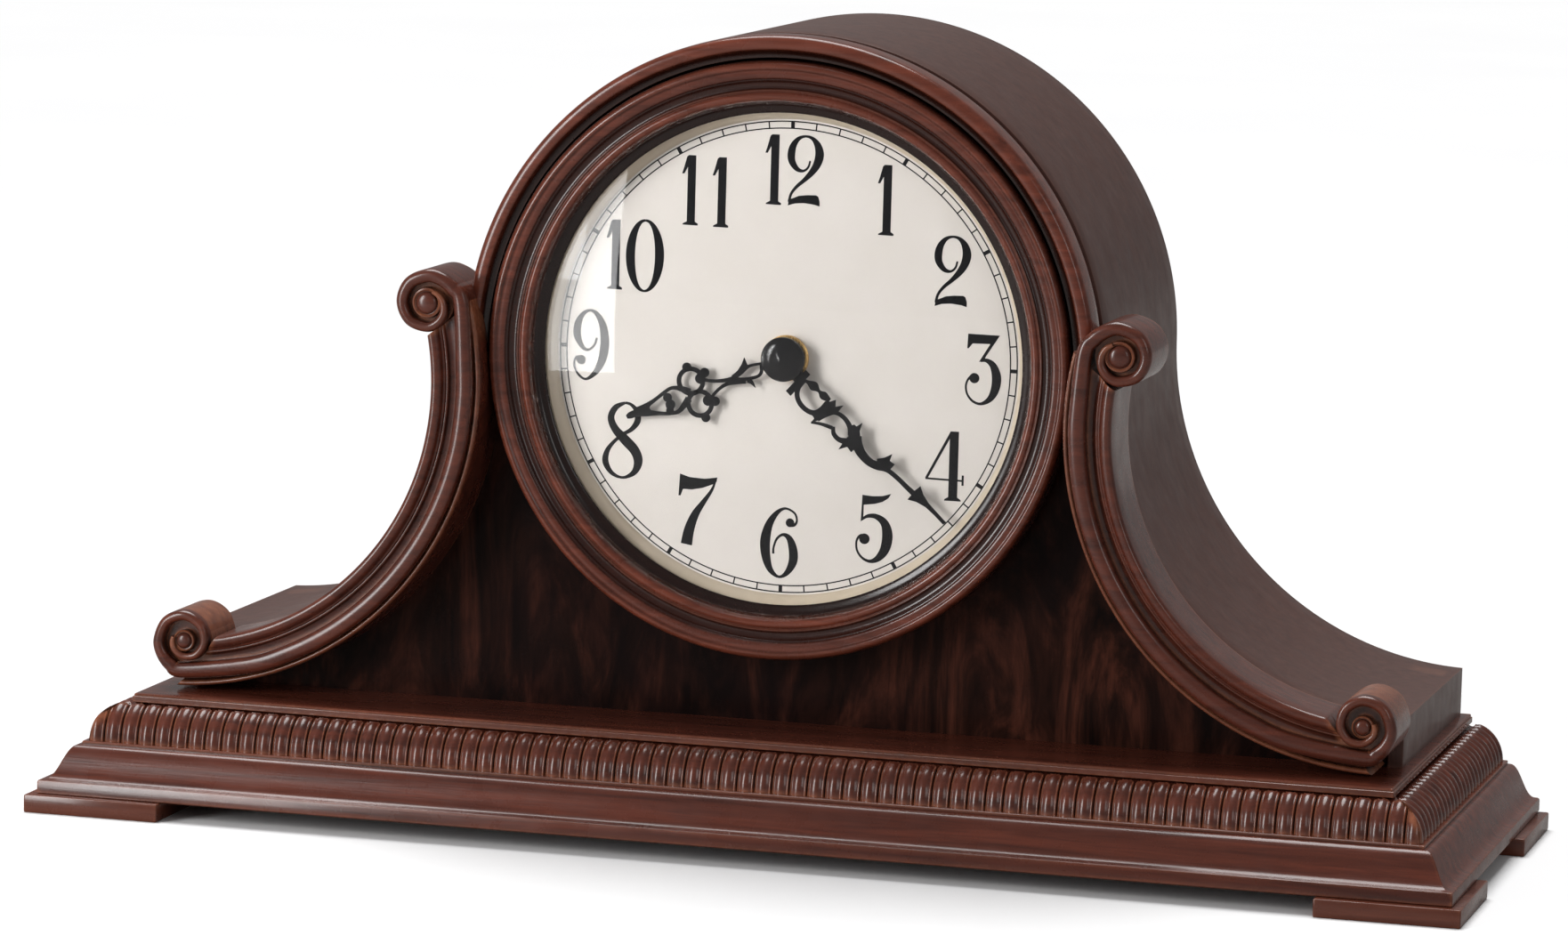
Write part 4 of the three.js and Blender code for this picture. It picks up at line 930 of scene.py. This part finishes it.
FIVE = {
    "blocks": [[(30.3, -48.9), (34, -49.2), (38, -48.9), (41.2, -47.9), (40.2, -49.6), (38, -51.1),
                (35, -52), (30.9, -52.6), (30.9, -57.6), (29.9, -59.0)]],
    "strokes": [[(30.1, -58.3, 0.7), (32.5, -56.7, 1.3), (35.8, -56.7, 2.0), (39, -59, 3.1),
                 (40.2, -63.5, 4.0), (39.4, -68.5, 3.6), (37, -72, 2.5), (34, -73.4, 1.3),
                 (31, -72.4, 0.9), (28.9, -69.8, 0.8), (28.5, -66.6, 0.8), (29.3, -64.6, 0.9),
                 (30.6, -63.8, 1.1)]],
    "dots": [(31.5, -65.2, 2.0)],
}
SIX = {
    "strokes": [[(3.2, -62.3, 0.8), (4.8, -61.8, 1.0), (5.6, -60, 0.8), (4.6, -57.4, 0.8),
                 (1.2, -55.9, 0.9), (-2.0, -57.6, 1.7), (-4.9, -62, 2.9), (-6.3, -68, 3.8),
                 (-5.9, -74, 3.4), (-4.1, -79, 2.2), (-0.8, -81.5, 1.0), (2.3, -79.8, 2.0),
                 (4.5, -75.5, 3.3), (4.4, -71, 3.3), (2.9, -67, 2.3), (0.5, -65.7, 1.2),
                 (-1.8, -67.3, 0.9), (-3, -70.5, 0.8), (-3.1, -73, 0.9)]],
    "dots": [(3.0, -61.1, 1.65)],
}
SEVEN = {
    "blocks": [[(-39.7, -45.4), (-36, -46.5), (-30, -46.8), (-25.3, -46.0), (-25.5, -47.6),
                (-27, -48.7), (-31, -50.3), (-35, -51.1), (-38.4, -51.1), (-39.3, -53.6),
                (-40.1, -53.6)]],
    "strokes": [[(-25.9, -47.0, 0.7), (-27.3, -50.8, 1.1), (-30.4, -55.5, 1.9), (-33.5, -60.3, 3.0),
                 (-35.6, -66, 3.9), (-36.6, -71.7, 4.4)]],
}
EIGHT = {
    "strokes": [[(-61.5, -20.3, 1.0), (-65.2, -22.3, 2.2), (-66.9, -26.2, 2.6), (-65.1, -30.4, 3.0),
                 (-61.2, -34.2, 3.8), (-57.4, -38, 3.7), (-56.0, -42, 3.4), (-57.5, -46.1, 2.2),
                 (-61.7, -48.3, 1.0), (-66, -46.9, 1.6), (-68.6, -43, 2.4), (-68.2, -39, 2.0),
                 (-66, -35.6, 1.4), (-62.4, -32.3, 1.3), (-58.9, -30.1, 1.7), (-56.6, -26.8, 2.4),
                 (-57.0, -23.2, 2.0), (-59.2, -20.9, 1.2), (-61.5, -20.3, 1.0)]],
}
NINE = {
    "strokes": [[(-73.1, 3.3, 0.9), (-74.1, 0.4, 0.9), (-76.5, -1.4, 1.0), (-78.9, 0, 1.7),
                 (-80.7, 4, 2.8), (-80.5, 8.3, 2.7), (-78.8, 11.7, 1.7), (-76, 13.4, 1.0),
                 (-73.2, 12, 1.8), (-70.9, 8, 2.8), (-70, 2, 3.4), (-70.7, -4, 3.2), (-72.9, -9, 2.2),
                 (-76.7, -12.3, 1.0), (-79.7, -11, 0.9), (-81.5, -8, 0.8), (-81.5, -5.4, 0.8),
                 (-80.3, -3.9, 0.9)]],
    "dots": [(-79.0, -5.2, 1.75)],
}


def nought(x, z, half_width, half_height):
    """Oval whose sides are heavy and whose ends are fine."""
    stroke = []
    for i in range(25):
        a = 2 * pi * i / 24
        stroke.append((x + half_width * sin(a), z + half_height * cos(a), 0.9 + 2.6 * abs(sin(a)) ** 1.6))
    return {"strokes": [stroke]}


NUMBERS = [
    one(34.8, 47.2), two(54.9, 22.3), THREE, FOUR, FIVE, SIX, SEVEN, EIGHT, NINE, one(-68.2, 21.8),
    nought(-55.3, 34.8, 5.6, 13.1), one(-39.7, 47.1), one(-28.0, 46.9), one(-8.1, 56.3), two(-1.7, 56.2),
]


def flat_stroke(front, back, edge=0.0):
    """Section of a flat stroke, with its front rims broken by edge."""
    def section(width):
        half = width / 2
        if not edge:
            return [(half, back), (half, front), (-half, front), (-half, back)]
        lip = min(edge, 0.4 * half)
        return [(half, back), (half, front + edge), (half - lip, front), (-half + lip, front),
                (-half, front + edge), (-half, back)]
    return section


def draw(shape, marks, front, back, edge=0.0, centre=(0.0, 0.0), smooth=8):
    """Add strokes, outlines and dots to a shape, each a hair in front of the one before."""
    step = 0.004
    layer = 0
    cx, cz = centre
    for stroke in marks.get("strokes", []):
        path = smooth_path([(x + cx, z + cz, w) for x, z, w in stroke], smooth)
        shape.ribbon(path, flat_stroke(front - layer * step, back, edge))
        layer += 1
    for line in marks.get("blocks", []):
        shape.prism([(x + cx, z + cz) for x, z in line], front - layer * step, back, edge)
        layer += 1
    for x, z, radius in marks.get("dots", []):
        shape.prism(ball(x + cx, z + cz, radius), front - layer * step, back, edge)
        layer += 1


def dial_numbers():
    shape = Shape()
    for marks in NUMBERS:
        draw(shape, marks, DIAL_FRONT - INK, DIAL_FRONT, centre=(0.0, DIAL_Z))
    shape.build("dial_numbers", "case", "black_lacquer")


# ---- hands

# Serpentine hands as they lie at the shown time, about the middle of the dial.
MINUTE_HAND = {
    "strokes": [
        [(0, 0, 5.0), (4.0, -4.2, 5.0), (7.4, -7.9, 4.2)],
        [(7.8, -7.4, 2.2), (5.9, -10.4, 1.9), (5.7, -13.6, 1.8), (7.3, -16.6, 1.8), (10.2, -18.7, 1.8),
         (13.2, -19.0, 2.2), (16.2, -17.0, 2.6), (18.0, -14.6, 2.0)],
        [(8.3, -7.4, 1.2), (9.6, -7.9, 1.4), (11.9, -9.3, 3.5), (13.9, -11.0, 1.1), (15.6, -12.5, 3.1),
         (18.1, -14.2, 1.3)],
        [(13.6, -21.2, 2.2), (16.4, -19.7, 1.9), (20.2, -18.6, 1.5), (23.6, -20.2, 1.6),
         (25.9, -23.3, 1.9), (26.6, -26.5, 2.6)],
        [(11.3, -22.7, 0.9), (15.2, -23.1, 1.2), (19.4, -24.3, 1.4)],
        [(19.7, -23.8, 1.2), (19.9, -26.3, 1.6), (21.8, -28.3, 1.8), (24.5, -28.9, 2.4)],
        [(28.3, -27.0, 4.4), (28.9, -29.8, 4.0), (30.8, -33.2, 3.4), (33.8, -36.0, 3.0),
         (37.2, -37.2, 3.2), (40.6, -37.0, 4.0)],
        [(36.0, -37.6, 1.6), (40.6, -38.6, 1.7), (44.6, -41.3, 1.7), (48.3, -44.5, 1.8),
         (51.2, -46.9, 2.0)],
    ],
    "blocks": [
        [(1.3, -11.6), (3.2, -13.4), (10.4, -5.1), (8.6, -3.4)],
        [(16.3, -14.6), (17.9, -14.7), (20.4, -13.8), (20.3, -16.4), (23.3, -15.7), (21.3, -18.4),
         (19.0, -19.1), (16.0, -19.6), (13.8, -21.9), (11.0, -22.9), (12.4, -21.2), (11.6, -20.0),
         (13.2, -18.6)],
        [(25.6, -22.3), (26.6, -22.9), (27.6, -22.5), (28.4, -23.2), (30.7, -21.7), (29.8, -24.8),
         (30.2, -28.5), (31.4, -31.6), (30.0, -33.6), (28.4, -32.1), (27.6, -31.9), (26.8, -32.8),
         (25.2, -30.9), (21.9, -32.1), (24.2, -28.4), (25.6, -26.8)],
        [(36.6, -34.6), (39.4, -34.0), (42.3, -32.5), (41.5, -35.1), (43.4, -36.3), (41.9, -38.1),
         (40.2, -39.3), (37.0, -38.4)],
        [(51.4, -45.3), (53.3, -43.7), (54.5, -46.8), (56.6, -49.8), (59.6, -52.8), (63.4, -56.5),
         (62.3, -57.3), (58.9, -54.1), (55.5, -51.3), (52.0, -49.6), (48.6, -48.9), (50.3, -46.8)],
    ],
}
HOUR_HAND = {
    "strokes": [
        [(0, 0, 6.0), (-5.0, -2.4, 6.0), (-7.6, -3.6, 5.0)],
        [(-7.6, -2.2, 1.2), (-10.3, -2.6, 1.0), (-13.6, -3.6, 1.2), (-16.6, -5.9, 2.0), (-19.5, -8.2, 2.0)],
        [(-9.0, -2.6, 1.0), (-8.7, -5.2, 1.2), (-9.6, -6.8, 1.2), (-11.6, -7.7, 1.2), (-15.0, -8.5, 1.3),
         (-19.0, -8.9, 1.9)],
        [(-18.0, -8.0, 2.0), (-21.5, -9.1, 1.6), (-25.0, -9.7, 1.3), (-28.6, -9.8, 1.2),
         (-31.4, -9.3, 1.5)],
        [(-14.6, -9.4, 1.4), (-18.4, -9.8, 1.6), (-21.6, -10.6, 1.5), (-24.4, -12.4, 1.2),
         (-26.8, -15.0, 1.2), (-27.6, -17.0, 1.4)],
        [(-35.8, -14.3, 2.2), (-38.6, -13.6, 2.2), (-41.4, -13.2, 1.5), (-43.7, -13.7, 1.3),
         (-46.2, -15.6, 1.4), (-49.2, -18.1, 1.4), (-52.4, -20.5, 2.0), (-55.4, -22.4, 2.8)],
        [(-36.2, -17.0, 2.8), (-38.0, -19.6, 2.2), (-40.0, -21.9, 1.6), (-43.4, -22.9, 1.3),
         (-47.8, -23.1, 1.5), (-51.6, -23.2, 2.4), (-55.4, -23.3, 2.8)],
        [(-53.6, -22.6, 3.4), (-56.6, -23.6, 2.7), (-58.6, -24.5, 2.5), (-59.9, -25.2, 1.4)],
    ],
    "blocks": [
        [(-20.0, -7.6), (-17.8, -5.4), (-16.3, -3.0), (-15.4, -0.4), (-14.0, -3.3), (-15.6, -5.6),
         (-18.2, -7.9)],
        [(-14.0, -9.6), (-12.6, -10.1), (-10.7, -11.5), (-11.6, -9.4), (-12.4, -8.2), (-14.0, -8.4)],
        [(-36.8, -13.9), (-33.6, -14.1), (-33.4, -15.2), (-36.0, -16.2), (-37.8, -15.0)],
        [(-50.2, -18.4), (-51.3, -21.4), (-50.2, -22.6), (-54.0, -23.6), (-54.6, -21.6)],
    ],
    "dots": [(-37.3, -5.3, 1.75), (-30.4, -6.9, 1.8), (-32.0, -9.2, 2.0), (-29.5, -23.6, 1.7),
             (-26.1, -17.3, 1.8), (-28.8, -17.2, 2.0), (-44.4, -17.0, 1.7), (-43.2, -19.6, 1.9),
             (-43.3, -21.8, 1.5)],
    "rings": [(-35.6, -10.4, 4.6, 1.7), (-31.9, -18.5, 4.5, 1.7)],
}


def hand(name, marks, body, arbor):
    """Pierced hand with eased front edges and its round boss."""
    a, b = low(name), high(name)
    shape = Shape()
    draw(shape, marks, a.y + 0.05, b.y, 0.14, (0.0, DIAL_Z))
    for x, z, radius, width in marks.get("rings", []):
        inner, outer = radius - width / 2, radius + width / 2
        shape.turned([(inner, b.y), (outer, b.y), (outer, a.y + 0.19), (outer - 0.14, a.y + 0.06),
                      (inner + 0.14, a.y + 0.06), (inner, a.y + 0.19)], x, DIAL_Z + z, 40)
    boss = 5.0
    shape.turned([(arbor, b.y), (boss, b.y), (boss, a.y + 0.1), (boss - 0.15, a.y - 0.02),
                  (arbor, a.y - 0.02)],
                 steps=48)
    shape.build(f"{name}_pierced", body, "black_lacquer", [name], 40)


def hub():
    """Black stepped cap over the centre, and the brass nut behind it."""
    a, b = low("hub_cap"), high("hub_cap")
    r = b.x
    shape = Shape()
    shape.dome([(0.0, b.y), (r - 0.2, b.y), (r, b.y - 0.2), (r, b.y - 0.9), (r - 0.3, b.y - 1.2),
                (r - 1.5, b.y - 1.4), (r - 1.7, b.y - 1.8), (r - 2.0, b.y - 2.0), (r - 3.7, b.y - 2.3),
                (r - 3.95, b.y - 2.6), (r - 4.1, b.y - 2.7), (0.7, a.y + 0.1), (0.35, a.y + 0.02),
                (0.0, a.y)], steps=72)
    shape.build("hub_button", "minute_train", "black_lacquer", ["hub_cap"], 28, finish="hub_lacquer")
    a, b = low("fixing_nut"), high("fixing_nut")
    r = b.x
    profile = soften([(5.05, b.y), (r, b.y), (r, b.y - 0.5), (r - 0.35, b.y - 0.7), (r - 0.35, b.y - 0.95),
                      (r, b.y - 1.15), (r, a.y + 0.3), (r - 0.5, a.y), (5.3, a.y), (5.05, a.y + 0.2)], 1)
    shape = Shape()
    shape.turned(profile, steps=96)
    shape.build("brass_nut", "case", "brass", ["fixing_nut"], 28)


# ---- CAD pieces kept, and their finish

def kept_nodes():
    """Give every CAD node still shown its finish and broken edges."""
    slots = {row["node"]: row["material_slot"] for row in frame["record"]["subparts"]}
    for name, obj in NODES.items():
        if obj.hide_render:
            continue
        obj.data.materials.clear()
        obj.data.materials.append(MATERIAL[slots[name]])
        weld = obj.modifiers.new("weld", "WELD")
        weld.merge_threshold = 0.00001
        bevel = obj.modifiers.new("edge", "BEVEL")
        bevel.width = 0.00018
        bevel.segments = 2
        bevel.limit_method = "ANGLE"
        bevel.angle_limit = radians(40)


# ---- stage

def stage():
    """Pale floor, 12 m square, bright to the camera and darker to every other ray."""
    mesh = bpy.data.meshes.new("floor")
    far = 6.0
    mesh.from_pydata([(-far, -far, 0), (far, -far, 0), (far, far, 0), (-far, far, 0)], [], [[0, 1, 2, 3]])
    n = Nodes("floor")
    tone = n.mix(n.span(n.noise(n.place, 3.0), 0.3, 0.7), (0.99, 0.99, 0.99), (0.97, 0.97, 0.975))
    seen = n.node("ShaderNodeLightPath").outputs["Is Camera Ray"]
    tone = n.mix(seen, (0.34, 0.33, 0.32), tone)
    mesh.materials.append(n.finish(tone, 0.9))
    floor = bpy.data.objects.new("floor", mesh)
    bpy.context.scene.collection.objects.link(floor)


def lamp(name, place, aim, width, height, power, colour=(1, 1, 1)):
    data = bpy.data.lights.new(name, "AREA")
    data.shape = "RECTANGLE"
    data.size = width
    data.size_y = height
    data.energy = power
    data.color = colour
    obj = bpy.data.objects.new(name, data)
    obj.location = place
    obj.rotation_euler = (Vector(aim) - Vector(place)).to_track_quat("-Z", "Y").to_euler()
    obj.visible_camera = False
    bpy.context.scene.collection.objects.link(obj)


ROOM_LIGHT = 0.22
SEEN_LIGHT = 1.0


def lights():
    """Soft studio light, in metres: overhead, a box and a strip at the left, a box at the right."""
    middle = (0.0, 0.0, 0.15)
    data = bpy.data.lights.new("ceiling", "SUN")
    data.energy = 2.7
    data.angle = radians(40)
    obj = bpy.data.objects.new("ceiling", data)
    obj.rotation_euler = (radians(-16), radians(-8), 0.0)
    bpy.context.scene.collection.objects.link(obj)
    lamp("left_box", (-1.45, -1.5, 0.7), middle, 0.6, 1.1, 13)
    lamp("left_strip", (-0.72, -0.88, 0.30), (0.0, 0.0, 0.18), 0.24, 0.74, 4.8)
    lamp("right_box", (1.6, -1.5, 0.9), middle, 0.4, 0.9, 3.5)
    world = bpy.data.worlds.new("studio")
    world.use_nodes = True
    tree = world.node_tree
    room = tree.nodes["Background"]
    room.inputs["Color"].default_value = (1.0, 1.0, 1.0, 1)
    room.inputs["Strength"].default_value = ROOM_LIGHT
    sky = tree.nodes.new("ShaderNodeBackground")
    sky.inputs["Color"].default_value = (1.0, 1.0, 1.0, 1)
    sky.inputs["Strength"].default_value = SEEN_LIGHT
    seen = tree.nodes.new("ShaderNodeLightPath")
    both = tree.nodes.new("ShaderNodeMixShader")
    tree.links.new(seen.outputs["Is Camera Ray"], both.inputs[0])
    tree.links.new(room.outputs[0], both.inputs[1])
    tree.links.new(sky.outputs[0], both.inputs[2])
    tree.links.new(both.outputs[0], tree.nodes["World Output"].inputs["Surface"])
    bpy.context.scene.world = world


def camera():
    """Long lens, a little above the clock and to its right."""
    place = Vector((0.62584, -2.30299, 0.46013))
    yaw, pitch, roll = 0.268272, -0.136530, 0.027258
    ahead = Vector((-sin(yaw) * cos(pitch), cos(yaw) * cos(pitch), sin(pitch)))
    level = Vector((cos(yaw), sin(yaw), 0.0))
    upright = level.cross(ahead)
    right = level * cos(roll) + upright * sin(roll)
    up = -level * sin(roll) + upright * cos(roll)
    data = bpy.data.cameras.new("camera")
    data.lens = 148.27
    data.sensor_width = 36.0
    obj = bpy.data.objects.new("camera", data)
    obj.matrix_world = Matrix.Translation(place) @ Matrix((right, up, -ahead)).transposed().to_4x4()
    bpy.context.scene.collection.objects.link(obj)
    bpy.context.scene.camera = obj


# ---- make it all

feet()
base_board()
cap_board()
reeded_strips()
case_wrap()
front_panel()
hood_arch()
scrolls()
bezel()
glass()
dial_ring()
dial_track()
dial_numbers()
hand("minute_hand", MINUTE_HAND, "minute_train", 1.65)
hand("hour_hand", HOUR_HAND, "hour_train", 2.55)
hub()
kept_nodes()
stage()
lights()
camera()
bpy.context.scene.view_settings.view_transform = "Standard"
